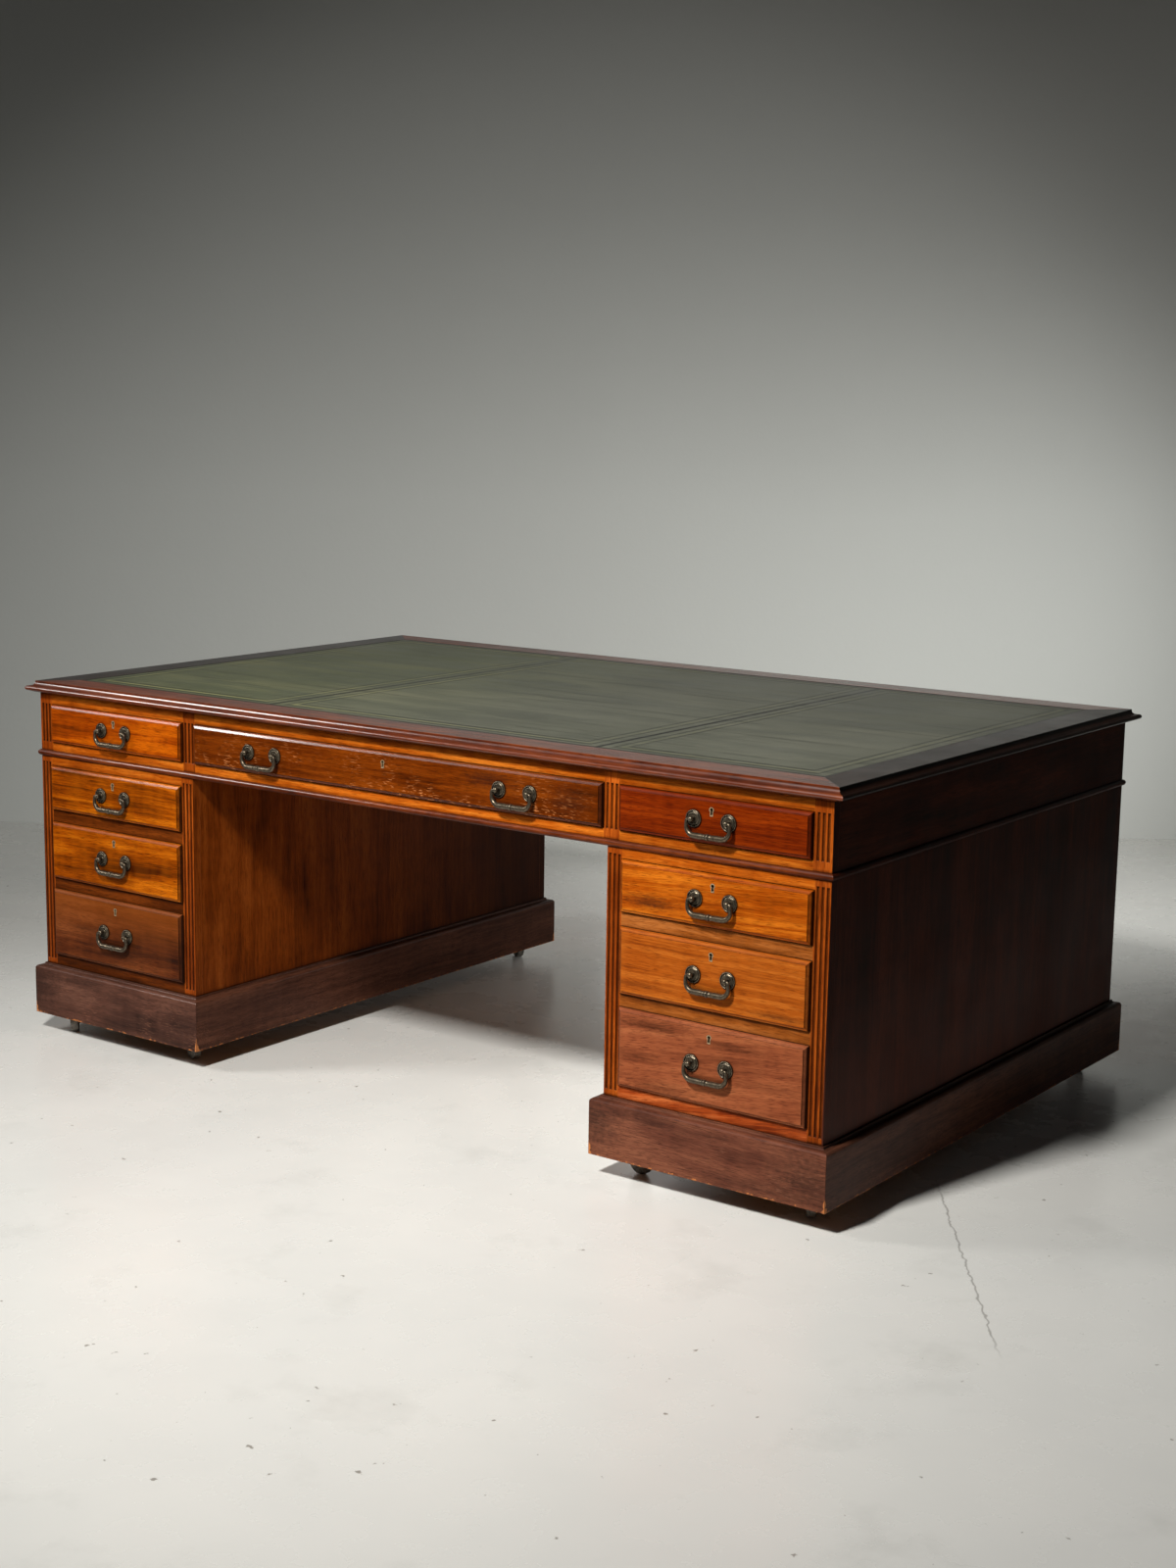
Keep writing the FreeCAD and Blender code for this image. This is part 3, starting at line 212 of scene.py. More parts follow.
def mahogany(
    name,
    grain,
    tones,
    seed,
    slant=0.0,
    cloud=0.35,
    wave=0.014,
    marks=(),
    figure=1.0,
    shine=0.36,
    polish=0.0,
    gloss=0.5,
    wear=0.8,
    ends=0.0,
    shade_and_wax=(0.010, 0.9, 0.5),
    radius=0.0009,
):
    """Polished mahogany with its figure along one axis.

    Clouds, streaks and fine lines choose between a dark, a middle and a light tone, the farther
    apart the stronger the figure. Pores are darker, grooves and inner corners painted dark, as
    shade and old waxed polish, and edges are rubbed.
    Flat faces have the polish, which may differ at the left and the right, and mouldings that
    face up the gloss. Mouldings that face along X can be painted darker: painted shade on the
    ends, and end grain that took more stain. Marks are (mask, colour, share) layers.
    """
    s = Shader(name)
    dark, middle, light = tones
    geometry = s.add("NewGeometry")
    own, normal = geometry.outputs["Random Per Island"], geometry.outputs["True Normal"]
    moved = s.vectors("ADD", s.place, s.vectors("SCALE", APART, own))
    turn = [0, 0, 0]
    turn[Y if grain == X else X] = slant
    turned = s.stretched((1, 1, 1), (seed, seed * 1.7, seed * 0.6), turn, moved)
    wavy = s.waved(turned, grain_scale(grain, *WAVES), wave)

    def drawn(part, place=wavy, **settings):
        return s.noise(s.stretched(grain_scale(grain, *part), place=place), **settings)

    clouds = drawn(CLOUDS, detail=3, roughness=0.6)
    streaks = drawn(STREAKS, detail=3)
    lines = drawn(LINES, detail=4, roughness=0.7)
    pores = drawn(PORES, turned, detail=1)
    ripple = drawn(RIPPLE, detail=1)

    half = (1 - cloud) / 2
    shade = s.times(clouds, cloud)
    shade = s.calc("ADD", shade, s.times(streaks, half))
    shade = s.calc("ADD", shade, s.times(lines, half))
    darkest, lightest = MIDDLE_SHADE - 0.12 / figure, MIDDLE_SHADE + 0.11 / figure
    colour = s.ramp(shade, (darkest, dark), (MIDDLE_SHADE, middle), (lightest, light))
    colour = s.mix(s.between(pores, 0.54, 0.66, 0.0, 0.8), colour, dark)
    colour = s.mix(s.between(lines, 0.55, 0.66, 0.0, 0.35 * figure), colour, dark)
    colour = s.mix(s.between(ripple, 0.35, 0.7, 0.0, 0.16), colour, light)
    tint = s.between(own, 0.0, 1.0, 0.88, 1.08)
    grey = s.add("CombineColor", {0: tint, 1: tint, 2: tint}).outputs[0]
    colour = s.mix(1.0, colour, grey, "MULTIPLY")
    for mask, mark, share in marks:
        colour = s.mix(s.times(mask(s), share), colour, mark)
    # painted shade on the mouldings that face along X, together with end grain that took more
    # stain
    if ends:
        sideways = s.between(s.calc("ABSOLUTE", s.along(X, normal)), 0.2, 0.5)
        colour = s.mix(s.times(sideways, ends), colour, END_SHADE_AND_STAIN)
    # grooves, gaps and inner corners painted dark: painted shade, and old waxed polish
    deep = s.crevices(*shade_and_wax)
    colour = s.mix(s.times(deep, 0.92), colour, SHADE_AND_OLD_WAX)
    open_to = s.calc("SUBTRACT", 1.0, deep)
    rubbed = s.between(s.noise(s.place, 45, 4, 0.6), 0.3, 0.6, 0.15, 1.0)
    worn = s.times(s.edges(WORN_WIDTH), rubbed, s.times(open_to, wear))
    colour = s.mix(worn, colour, light)

    smears = s.noise(s.stretched((7, 7, 7), place=moved), detail=4)
    roughness = s.between(smears, 0.3, 0.75, shine - 0.06, shine + 0.1)
    height = s.calc("ADD", s.times(smears, 0.3), s.times(lines, 0.15))
    facing = s.vectors("ABSOLUTE", normal)
    largest = s.highest(*(s.along(axis, facing) for axis in (X, Y, Z)))
    upwards = s.between(s.along(Z, normal), 0.0, 0.3, 0.12, 1.0)
    moulded = s.times(s.between(largest, 0.995, 0.96), s.times(open_to, upwards))
    if isinstance(polish, tuple):
        polish = s.between(s.along(X), *POLISH_CHANGE, *polish)
    return s.finish(
        colour,
        roughness,
        height,
        0.0005,
        radius,
        Coat_Roughness=0.11,
        Coat_Weight=s.between(moulded, 0.0, 1.0, polish, gloss),
        Specular_IOR_Level=s.between(
            moulded, 0.0, 1.0, FLAT_SPECULAR, FLAT_SPECULAR + gloss * 0.5
        ),
    )


def plain_wood(name, grain, light, dark, seed):
    """Unpolished wood of the drawer linings and of what lies inside the case."""
    s = Shader(name)
    place = s.stretched((1, 1, 1), (seed, seed, seed))
    streaks = s.stretched(grain_scale(grain, 60, 2.5), place=place)
    streaks = s.noise(streaks, detail=5, distortion=0.4)
    fine = s.noise(s.stretched(grain_scale(grain, 380, 12), place=place), detail=2)
    dirt = s.noise(s.stretched((5, 5, 5), place=place), detail=5)
    colour = s.ramp(streaks, (0.35, dark), (0.65, light))
    colour = s.mix(s.between(fine, 0.5, 0.72, 0, 0.4), colour, dark)
    colour = s.mix(s.between(dirt, 0.5, 0.75, 0, 0.5), colour, tone(54, 38, 24))
    return s.finish(colour, s.between(dirt, 0.3, 0.7, 0.55, 0.75), streaks, 0.0004)


# ---- marks of age, and fades that also paint shade and sheen, as masks over a wood ----


def speckles(density, size, low, high):
    """Small spots that get fewer from one height to another."""

    def mask(s):
        spots = s.noise(s.place, 1 / size, 4, 0.7)
        shown = s.between(spots, 0.78 - density * 0.2, 0.84 - density * 0.2)
        return s.times(shown, s.between(s.along(Z), low, high, 1.0, 0.0))

    return mask


def fading(axis, start, end):
    """From 0 to 1 between two places along an axis."""
    return lambda s: s.between(s.along(axis), start, end)


def scratches(grain, low, high):
    """Fine short nicks roughly along the grain, most of them low down."""

    def mask(s):
        lines = s.noise(s.stretched(grain_scale(grain, 420, 70), turn=(0, 0.06, 0)), 1.0, 2, 0.4)
        patches = s.between(s.noise(s.place, 14, 3), 0.46, 0.6)
        shown = s.times(s.between(lines, 0.58, 0.64), patches)
        return s.times(shown, s.between(s.along(Z), low, high, 1.0, 0.2))

    return mask


def smudge(middle, half, tilt):
    """A dark cloud in the figure, round a place (x, z) and with ragged ends."""

    def mask(s):
        at = s.add("CombineXYZ", {0: s.along(X), 2: s.along(Z)}).outputs[0]
        turned = s.stretched((1, 1, 1), place=at, shift=(-middle[0], 0, -middle[1]))
        turned = s.stretched((1 / half[0], 1, 1 / half[1]), turn=(0, tilt, 0), place=turned)
        away = s.measure("LENGTH", s.waved(turned, (1.6, 1.6, 1.6), 1.1))
        fibres = s.noise(s.stretched((8, 200, 200)), detail=3)
        fibres = s.between(fibres, 0.3, 0.6, 0.4, 1.0)
        return s.times(s.between(away, 0.2, 1.1, 1.0, 0.0), fibres)

    return mask


def smudges(node, colour, *places):
    """Smudges as marks on the front of a node, with places in shares of its width and height.

    Each place is (across, up, half of its size in metres, tilt, share of the colour).
    """
    low, high = low_high(node)
    found = []
    for across, up, half, tilt, share in places:
        middle = (low.x + (high.x - low.x) * across, low.z + (high.z - low.z) * up)
        found.append((smudge(middle, half, tilt), colour, share))
    return found


def chipped_corner(x, y, low, high, reach):
    """Bare wood where an upright corner at x, y is worn, most at its foot."""

    def mask(s):
        here = s.add("CombineXYZ", {0: s.along(X), 1: s.along(Y)}).outputs[0]
        away = s.measure("DISTANCE", here, (x, y, 0))
        ragged = s.between(s.noise(s.place, 160, 4), 0.3, 0.7, 0.2, 1.6)
        reach_here = s.between(s.along(Z), low, high, reach, 0.0)
        return s.calc("LESS_THAN", away, s.times(ragged, reach_here))

    return mask


def nicked_edge(low, reach):
    """Bare spots along the lower edge of a board."""

    def mask(s):
        ragged = s.between(s.noise(s.place, 150, 4), 0.5, 0.66, 0.0, reach)
        return s.calc("LESS_THAN", s.calc("SUBTRACT", s.along(Z), low), ragged)

    return mask


# ---- other materials ----


def frames_of_lines(s, box, insets, width):
    """Thin lines that run round inside a panel, seen from above; those along X are wider."""
    low, high = box
    lines = []
    for inset in insets:
        reach = []
        for axis, share in ((X, 1.0), (Y, 0.5)):
            middle = (low[axis] + high[axis]) / 2
            half = (high[axis] - low[axis]) / 2 - inset
            away = s.calc("ABSOLUTE", s.calc("SUBTRACT", s.along(axis), middle))
            reach.append(s.times(s.calc("SUBTRACT", away, half), share))
        edge = s.calc("ABSOLUTE", s.highest(*reach))
        lines.append(s.between(edge, width * 0.3, width * 0.6, 1.0, 0.0))
    return s.highest(*lines)


def leather(panels):
    """Worn green skiver, tooled with lines round each panel and dark where the panels meet."""
    s = Shader("leather")
    streaks = s.noise(s.stretched((2.2, 11, 1), turn=(0, 0, 0.35)), 1.0, 6, 0.62, 0.9)
    blotches = s.noise(s.place, 2.4, 5, 0.6)
    pebble = s.noise(s.place, 900, 2)
    shade = s.calc("ADD", s.times(streaks, 0.6), s.times(blotches, 0.4))

    def shaded(*tones):
        return s.ramp(shade, *zip((0.36, 0.5, 0.66), tones))

    def drawn(insets, width):
        return s.highest(*(frames_of_lines(s, box, insets, width) for box in panels))

    green = shaded(tone(60, 66, 40), tone(84, 88, 60), tone(108, 108, 78))
    grey = shaded(tone(66, 68, 54), tone(90, 91, 77), tone(110, 110, 96))
    colour = s.mix(s.between(s.along(X), -0.55, 0.1), green, grey)
    creases = s.waved(s.stretched((3, 60, 1), turn=(0, 0, 0.12)), (1, 1, 1), 0.8)
    creased = s.between(s.noise(creases, detail=3), 0.56, 0.68, 0.0, 0.55)
    colour = s.mix(creased, colour, tone(40, 42, 30))
    rubbed = s.between(s.noise(s.place, 70, 5), 0.6, 0.75, 0, 0.3)
    colour = s.mix(rubbed, colour, tone(118, 114, 92))
    tooled = drawn((0.026, 0.048), 0.0055)
    gilt = drawn((0.037,), 0.004)
    rim = drawn((0.0,), 0.011)
    broken = s.between(s.noise(s.place, 26, 4), 0.3, 0.55, 0.45, 1.0)
    kept = s.times(broken, s.between(s.along(X), -0.5, 0.2, 0.8, 0.25))
    colour = s.mix(s.times(gilt, kept), colour, tone(150, 148, 92))
    colour = s.mix(s.times(tooled, broken, 0.85), colour, tone(28, 28, 18))
    colour = s.mix(s.times(rim, 0.95), colour, tone(10, 9, 6))
    roughness = s.between(streaks, 0.3, 0.7, 0.34, 0.5)
    height = s.calc("SUBTRACT", s.times(pebble, 0.3), tooled)
    return s.finish(colour, roughness, height, 0.0005)


def bronze(name, light, dark, roughness, metallic=0.9, hollow=0.004):
    """Old brass, dark in its hollows and rubbed brighter where it stands proud."""
    s = Shader(name)
    patina = s.noise(s.place, 220, 3, 0.5)
    colour = s.ramp(patina, (0.2, dark), (0.8, light))
    rubbed = s.times(s.edges(0.0012), s.between(patina, 0.3, 0.6, 0.4, 1.0))
    colour = s.mix(rubbed, colour, s.mix(0.35, light, tone(226, 216, 196)))
    colour = s.mix(s.times(s.crevices(hollow, 0.85, 0.45), 0.95), colour, tone(8, 6, 4))
    rough = s.between(patina, 0.3, 0.7, roughness + 0.06, roughness - 0.06)
    return s.finish(colour, rough, s.noise(s.place, 700, 3), 0.0001, Metallic=metallic)


def iron(name, light, dark):
    """Dark iron with spots of rust."""
    s = Shader(name)
    rust = s.noise(s.place, 90, 6, 0.7)
    colour = s.ramp(rust, (0.4, dark), (0.62, light))
    return s.finish(colour, s.between(rust, 0.3, 0.7, 0.5, 0.8), rust, 0.0004, Metallic=0.4)


def worn_wheel():
    """A scuffed wheel, paler than the horn that holds it."""
    s = Shader("wheel")
    scuffs = s.noise(s.place, 120, 6, 0.7)
    colour = s.ramp(scuffs, (0.35, tone(70, 64, 56)), (0.65, tone(150, 144, 132)))
    return s.finish(colour, 0.6, scuffs, 0.0003)


# ---- which solid of a node gets which material ----


def extent(points):
    """The lowest and the highest corner of some points."""
    return [Vector([pick(p[axis] for p in points) for axis in (X, Y, Z)]) for pick in (min, max)]


def solids(node):
    """The polygons of each separate solid of a node, with the lowest and highest corner."""
    mesh = NODES[node].data
    keys = [tuple(round(c, 6) for c in v.co) for v in mesh.vertices]
    owner = {}

    def root(key):
        while owner.setdefault(key, key) != key:
            key = owner[key]
        return key

    for polygon in mesh.polygons:
        first, *others = (keys[v] for v in polygon.vertices)
        for other in others:
            owner[root(other)] = root(first)
    groups = {}
    for polygon in mesh.polygons:
        groups.setdefault(root(keys[polygon.vertices[0]]), []).append(polygon)
    found = []
    for polygons in groups.values():
        points = [mesh.vertices[v].co for p in polygons for v in p.vertices]
        found.append((polygons, *extent(points)))
    return found


def give(node, polygons, material):
    """Some polygons of a node get a material, which the node may have already."""
    mesh = NODES[node].data
    names = [m.name if m else "" for m in mesh.materials]
    if material.name not in names:
        mesh.materials.append(material)
        names.append(material.name)
    for polygon in polygons:
        polygon.material_index = names.index(material.name)


def paint(node, choose):
    """Each separate solid of a node gets the material that choose(low, high) returns."""
    found = solids(node)
    NODES[node].data.materials.clear()
    for polygons, low, high in found:
        give(node, polygons, choose(low, high))


def paint_whole(node, material):
    paint(node, lambda low, high: material)


def paint_faces(node, choose):
    """Each face of a node gets the material that choose(centre, normal, size) returns."""
    mesh = NODES[node].data
    mesh.materials.clear()
    for polygon in mesh.polygons:
        low, high = extent([mesh.vertices[v].co for v in polygon.vertices])
        give(node, [polygon], choose(polygon.center, polygon.normal, high - low))


def longest(low, high):
    """The axis along which a solid is longest."""
    size = high - low
    return max((X, Y, Z), key=lambda axis: size[axis])


# each wood as (dark, middle, light)
GOLD = (tone(86, 31, 1), tone(154, 66, 3), tone(200, 108, 22))
HONEY = (tone(100, 42, 7), tone(156, 74, 14), tone(190, 106, 34))
AMBER = (tone(66, 24, 1), tone(150, 67, 1), tone(198, 106, 12))
FIRE = (tone(76, 25, 1), tone(146, 57, 1), tone(190, 90, 6))
BROWN = (tone(40, 13, 1), tone(88, 33, 1), tone(124, 56, 6))
UMBER = (tone(40, 18, 9), tone(88, 40, 16), tone(124, 66, 32))
RED = (tone(58, 12, 1), tone(100, 28, 1), tone(138, 50, 4))
ROSY = (tone(74, 31, 17), tone(140, 74, 44), tone(168, 98, 60))
RAIL = (tone(96, 36, 4), tone(166, 76, 8), tone(206, 116, 34))
# painted shade: the rails of the left pedestal are darker, for the shadow of the drawers above
# them
SHADED_LEFT_RAIL = (tone(36, 13, 2), tone(78, 32, 4), tone(116, 54, 12))
LOW_RAIL = (tone(104, 34, 8), tone(168, 70, 22), tone(206, 110, 56))
RIGHT_RAIL = (tone(84, 38, 8), tone(148, 78, 24), tone(184, 110, 52))
POST = (tone(78, 27, 3), tone(138, 57, 8), tone(184, 90, 24))
INNER_SIDE = (tone(60, 22, 2), tone(114, 50, 8), tone(142, 70, 20))
# painted shade: a darker copy of the wood for the outer sides of the desk, which lie in shadow
SHADED_OUTER_SIDE = (tone(22, 6, 1), tone(50, 16, 4), tone(74, 30, 11))
LEFT_PLINTH = (tone(44, 25, 18), tone(80, 49, 38), tone(104, 68, 54))
PLINTH = (tone(50, 24, 15), tone(96, 53, 38), tone(126, 76, 54))
# painted shade: the plinths' sides darker than their fronts
SHADED_PLINTH_SIDE = (tone(40, 20, 13), tone(72, 42, 30), tone(94, 58, 42))
BORDER = (tone(44, 14, 5), tone(90, 36, 14), tone(130, 62, 28))
# painted shade: the ends of the top's border, nearly black
SHADED_BORDER_END = (tone(12, 5, 3), tone(26, 12, 8), tone(48, 26, 17))
NOSING = (tone(40, 14, 4), tone(84, 32, 10), tone(138, 66, 26))
INSIDE = (tone(168, 118, 66), tone(112, 72, 36))  # light, dark
SMUDGE = tone(52, 24, 12)
BARE = tone(190, 118, 66)

# by which solids and faces are told apart, in metres
OUTER_WALL = 0.9  # the pedestals' outer walls are farther from the middle of the desk
BOARD_THICKNESS = 0.028  # what is farther inside a plinth may be a corner block
BLOCK_SIZE = 0.12  # corner blocks are smaller
POST_SIZE = 0.035  # the posts of a drawer's bails are smaller
LOCK_SIZES = (0.05, 0.06)
FRONT_DEPTH = 0.05  # the front and the back of a drawer are thinner from front to back
HINGE_SIZE = 0.08  # the hinge leaves of a door are smaller
DOOR_RAIL = (0.2, 0.07)  # the rails of a door are wider and lower than this
SIDEWAYS = 0.9  # of a normal along X


def by_grain(name, tones, seed, **more):
    """The same wood with its grain along X, Y and Z."""
    return [mahogany(f"{name}_{'xyz'[g]}", g, tones, seed + g, **more) for g in (X, Y, Z)]


def is_post(low, high):
    return max(high - low) < POST_SIZE


def is_lock(low, high):
    return LOCK_SIZES[0] < max(high - low) < LOCK_SIZES[1]


def paint_mitred(node, along_x, along_y, inside=None):
    """Mitred boards, each with its grain along it; blocks inside them are plain."""
    low, high = low_high(node)

    def choose(centre, normal, size):
        to_edge = min(centre.x - low.x, high.x - centre.x, centre.y - low.y, high.y - centre.y)
        if inside and to_edge > BOARD_THICKNESS and max(size) < BLOCK_SIZE:
            return inside
        return along_x if size.x > size.y else along_y

    paint_faces(node, choose)


def paint_case(inner):
    """Rails, pilasters and sides, which differ from place to place in the photograph."""
    rails = by_grain("rail", RAIL, 3.0)
    left_rails = by_grain("left_rail", SHADED_LEFT_RAIL, 4.0)
    right_rails = by_grain("right_rail", RIGHT_RAIL, 5.0)
    low_rail = mahogany("low_rail", X, LOW_RAIL, 7.0, slant=0.12, figure=1.4)
    # its flutes painted darker still, as shade and old waxed polish
    pilaster = mahogany("pilaster", Z, POST, 8.0, gloss=0.4, shade_and_wax=(0.006, 0.98, 0.7))
    foot = low_high("right_plinth")[1].z
    # painted sheen: the outer sides lighter and redder towards the foot
    painted_sheen = [(fading(Z, foot + 0.3, foot), tone(104, 60, 48), 0.35)]
    outer = by_grain("outer_side", SHADED_OUTER_SIDE, 8.0, cloud=0.5, marks=painted_sheen, gloss=0.2, wear=0.3)
    low, high = low_high("left_case")
    # dark specks low down, and painted shade that darkens the kneehole sides further back
    specks_and_shade = [
        (speckles(0.5, 0.006, 0.16, 0.42), tone(30, 12, 6), 0.9),
        (fading(Y, low.y + 0.2, high.y - 0.1), tone(24, 6, 1), 0.85),
    ]
    kneehole = mahogany("kneehole_side", Z, INNER_SIDE, 12.0, cloud=0.5, marks=specks_and_shade)
    rails_low, rails_high = low_high("pedestal_rails")

    def choose_rail(low, high):
        grain = longest(low, high)
        if low.z < rails_low.z + SAME and high.x > 0 and grain == X:
            return low_rail
        if high.z > rails_high.z - SAME:
            return rails[grain]
        return (left_rails if high.x < 0 else right_rails)[grain]

    paint("pedestal_rails", choose_rail)
    for node in ("frieze_pilasters", "pedestal_pilasters"):
        outermost = low_high(node)[1].x - SAME

        def choose_side(centre, normal, size, outermost=outermost):
            if abs(centre.x) > outermost:
                return outer[Z]
            return kneehole if abs(normal.x) > SIDEWAYS else pilaster

        paint_faces(node, choose_side)
    edge = low_high("frieze_case")[1].x - SAME

    def choose_board(low, high):
        return outer[Y] if high.x > edge or low.x < -edge else rails[X]

    paint("frieze_case", choose_board)
    for hand in ("left", "right"):
        walls = [corner.x for corner in low_high(f"{hand}_case")]

        def choose_wall(centre, normal, size, walls=walls):
            wall = min(walls, key=lambda x: abs(x - centre.x))
            if abs(centre.x - wall) > SAME:
                return inner[Y]
            return outer[Z] if abs(wall) > OUTER_WALL else kneehole

        paint_faces(f"{hand}_case", choose_wall)
    for node in ("frieze_framing", "top_panel", "cupboard_shelves"):
        paint(node, lambda low, high: inner[longest(low, high)])


def paint_mouldings():
    """The waist and the border of the top, painted darker at the ends of the desk as shade."""
    rounded = {"radius": 0.003}
    waist = mahogany("waist", X, NOSING, 15.0, gloss=0.35, **rounded)
    waist_end = mahogany("waist_end", Y, SHADED_OUTER_SIDE, 16.0, gloss=0.3, wear=0.2, **rounded)
    paint_mitred("waist_moulding", waist, waist_end)
    bright = {"polish": (0.25, 0.7), "gloss": 1.0, **rounded}
    dull = {"polish": 0.3, "gloss": 0.2, "wear": 0.25, **rounded}
    border = mahogany("border", X, BORDER, 21.0, **bright)
    border_end = mahogany("border_end", Y, SHADED_BORDER_END, 22.0, **dull)
    paint_mitred("top_border", border, border_end)


def paint_plinths(inside):
    """Plinths with a waxed finish, blotches on their fronts, and chips at the corners and the
    foot; their sides are painted darker, as shade.
    """
    waxed = {"shine": 0.42, "polish": 0.1, "gloss": 0.15, "radius": 0.002}
    for hand, tones in (("left", LEFT_PLINTH), ("right", PLINTH)):
        node = f"{hand}_plinth"
        low, high = low_high(node)
        soiled = [(speckles(0.4, 0.012, low.z, high.z), tone(40, 20, 14), 0.6)]
        blotches = smudges(
            node,
            tone(44, 26, 20),
            (0.02, 0.6, (0.07, 0.07), 0.0, 0.8),
            (0.3, 0.8, (0.1, 0.02), 0.0, 0.5),
            (0.93, 0.4, (0.09, 0.06), 0.0, 0.75),
            (0.7, 0.15, (0.14, 0.015), 0.0, 0.5),
        )
        worn = [
            (chipped_corner(x, y, low.z, low.z + 0.03, 0.007), BARE, 0.9)
            for x in (low.x, high.x)
            for y in (low.y, high.y)
        ]
        worn.append((nicked_edge(low.z, 0.004), BARE, 0.8))
        worn.append((scratches(X, low.z, high.z), tone(140, 92, 70), 0.4))
        marks = soiled + blotches + worn
        front = mahogany(f"{node}_front", X, tones, 30.0, cloud=0.6, marks=marks, **waxed)
        marks = soiled + worn
        side = mahogany(f"{node}_side", Y, SHADED_PLINTH_SIDE, 31.0, marks=marks, **waxed)
        paint_mitred(node, front, side, inside)


def paint_drawers(dark_brass, lock_brass):
    """Every drawer front has a wood of its own; the linings share one."""
    lining = plain_wood("lining", Y, *INSIDE, 5.0)
    centre = "frieze_front_centre_drawer"
    foot = low_high(centre)[0].z
    worn = [(scratches(X, foot, foot + 0.07), BARE, 0.9)]
    worn += smudges(
        centre,
        SMUDGE,
        (0.75, 0.7, (0.07, 0.02), 0.0, 0.7),
        (0.93, 0.5, (0.05, 0.03), 0.0, 0.7),
    )
    upper = smudges("right_upper_drawer", SMUDGE, (0.17, 0.3, (0.07, 0.016), 0.2, 0.85))
    middle = smudges(
        "right_middle_drawer",
        SMUDGE,
        (0.85, 0.14, (0.08, 0.008), 0.0, 0.6),
        (0.1, 0.2, (0.09, 0.01), 0.0, 0.4),
    )
    lower = smudges(
        "right_lower_drawer",
        SMUDGE,
        (0.2, 0.86, (0.09, 0.014), 0.35, 0.85),
        (0.12, 0.45, (0.07, 0.012), 0.25, 0.5),
        (0.62, 0.8, (0.08, 0.01), 0.2, 0.6),
        (0.25, 0.12, (0.08, 0.014), 0.1, 0.6),
        (0.8, 0.4, (0.09, 0.01), 0.1, 0.4),
    )
    bottom, top = (corner.z for corner in low_high("left_lower_drawer"))
    left = [(fading(Z, bottom + 0.06, top), tone(140, 70, 14), 0.5)]
    left += smudges(
        "left_lower_drawer",
        SMUDGE,
        (0.5, 0.25, (0.14, 0.025), 0.1, 0.8),
        (0.3, 0.5, (0.08, 0.01), 0.1, 0.6),
    )
    # tones, slant of the grain, cloud, figure, marks
    fronts = {
        "frieze_front_left": (FIRE, 0.0, 0.4, 1.1, ()),
        "frieze_front_centre": (BROWN, 0.0, 0.4, 1.0, worn),
        "frieze_front_right": (RED, 0.0, 0.25, 0.8, ()),
        "frieze_back_left": (BROWN, 0.0, 0.4, 1.0, ()),
        "frieze_back_centre": (AMBER, 0.0, 0.4, 1.0, ()),
        "frieze_back_right": (BROWN, 0.0, 0.4, 1.0, ()),
        "left_upper": (AMBER, 0.0, 0.45, 1.3, ()),
        "left_middle": (AMBER, 0.03, 0.5, 1.3, ()),
        "left_lower": (UMBER, 0.0, 0.5, 1.1, left),
        "right_upper": (GOLD, 0.05, 0.45, 1.1, upper),
        "right_middle": (HONEY, 0.0, 0.15, 0.7, middle),
        "right_lower": (ROSY, 0.1, 0.45, 0.8, lower),
    }
    for number, (name, (tones, slant, cloud, figure, marks)) in enumerate(fronts.items()):
        seed = 40 + number * 3.3
        wood = mahogany(
            f"{name}_front",
            X,
            tones,
            seed,
            slant,
            cloud,
            wave=0.008,
            marks=marks,
            figure=figure,
            gloss=0.9 if "centre" in name else 0.2,
            ends=0.9,
        )

        def choose(low, high, wood=wood):
            if is_post(low, high):
                return dark_brass
            if is_lock(low, high):
                return lock_brass
            return wood if (high - low).y < FRONT_DEPTH else lining

        paint(f"{name}_drawer", choose)


def is_rail(node, polygon):
    """Whether a face of a door is on the front or back of its top or bottom rail."""
    low, high = extent([NODES[node].data.vertices[v].co for v in polygon.vertices])
    size = high - low
    low, high = low_high(node)
    near = min(polygon.center.z - low.z, high.z - polygon.center.z)
    return size.x > DOOR_RAIL[0] and max(size.z, near) < DOOR_RAIL[1]


def paint_doors(dark_brass, lock_brass):
    """Doors with upright grain, except on their top and bottom rails."""
    for seed, hand in enumerate(("left", "right")):
        node = f"{hand}_cupboard_door"
        wood = by_grain(f"{hand}_door", AMBER, 90.0 + seed * 5, cloud=0.5)

        def choose(low, high, wood=wood):
            if is_lock(low, high):
                return lock_brass
            return dark_brass if max(high - low) < HINGE_SIZE else wood[Z]

        paint(node, choose)
        rails = [p for p in NODES[node].data.polygons if is_rail(node, p)]
        give(node, rails, wood[X])


# ---- details that ride on the CAD ----


def new_object(name, data):
    item = bpy.data.objects.new(name, data)
    bpy.context.collection.objects.link(item)
    return item


def new_mesh(name, vertices, faces, material, body):
    """A new piece that moves with a body of the CAD."""
    mesh = bpy.data.meshes.new(name)
    mesh.from_pydata(vertices, [], faces)
    mesh.validate()
    mesh.materials.append(material)
    item = new_object(name, mesh)
    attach(item, body)
    return item


def bands(rings, steps, turned):
    """The faces between neighbouring rings of corners, which face the other way if turned."""
    faces = []
    for a in range(0, (rings - 1) * steps, steps):
        b = a + steps
        for i in range(steps):
            j = (i + 1) % steps
            faces.append((a + i, b + i, b + j, a + j) if turned else (a + i, a + j, b + j, b + i))
    return faces


KEYHOLE_NECK = math.radians(50)  # from the middle of the head, how far down its leg begins
KEYHOLE_STEPS = 14


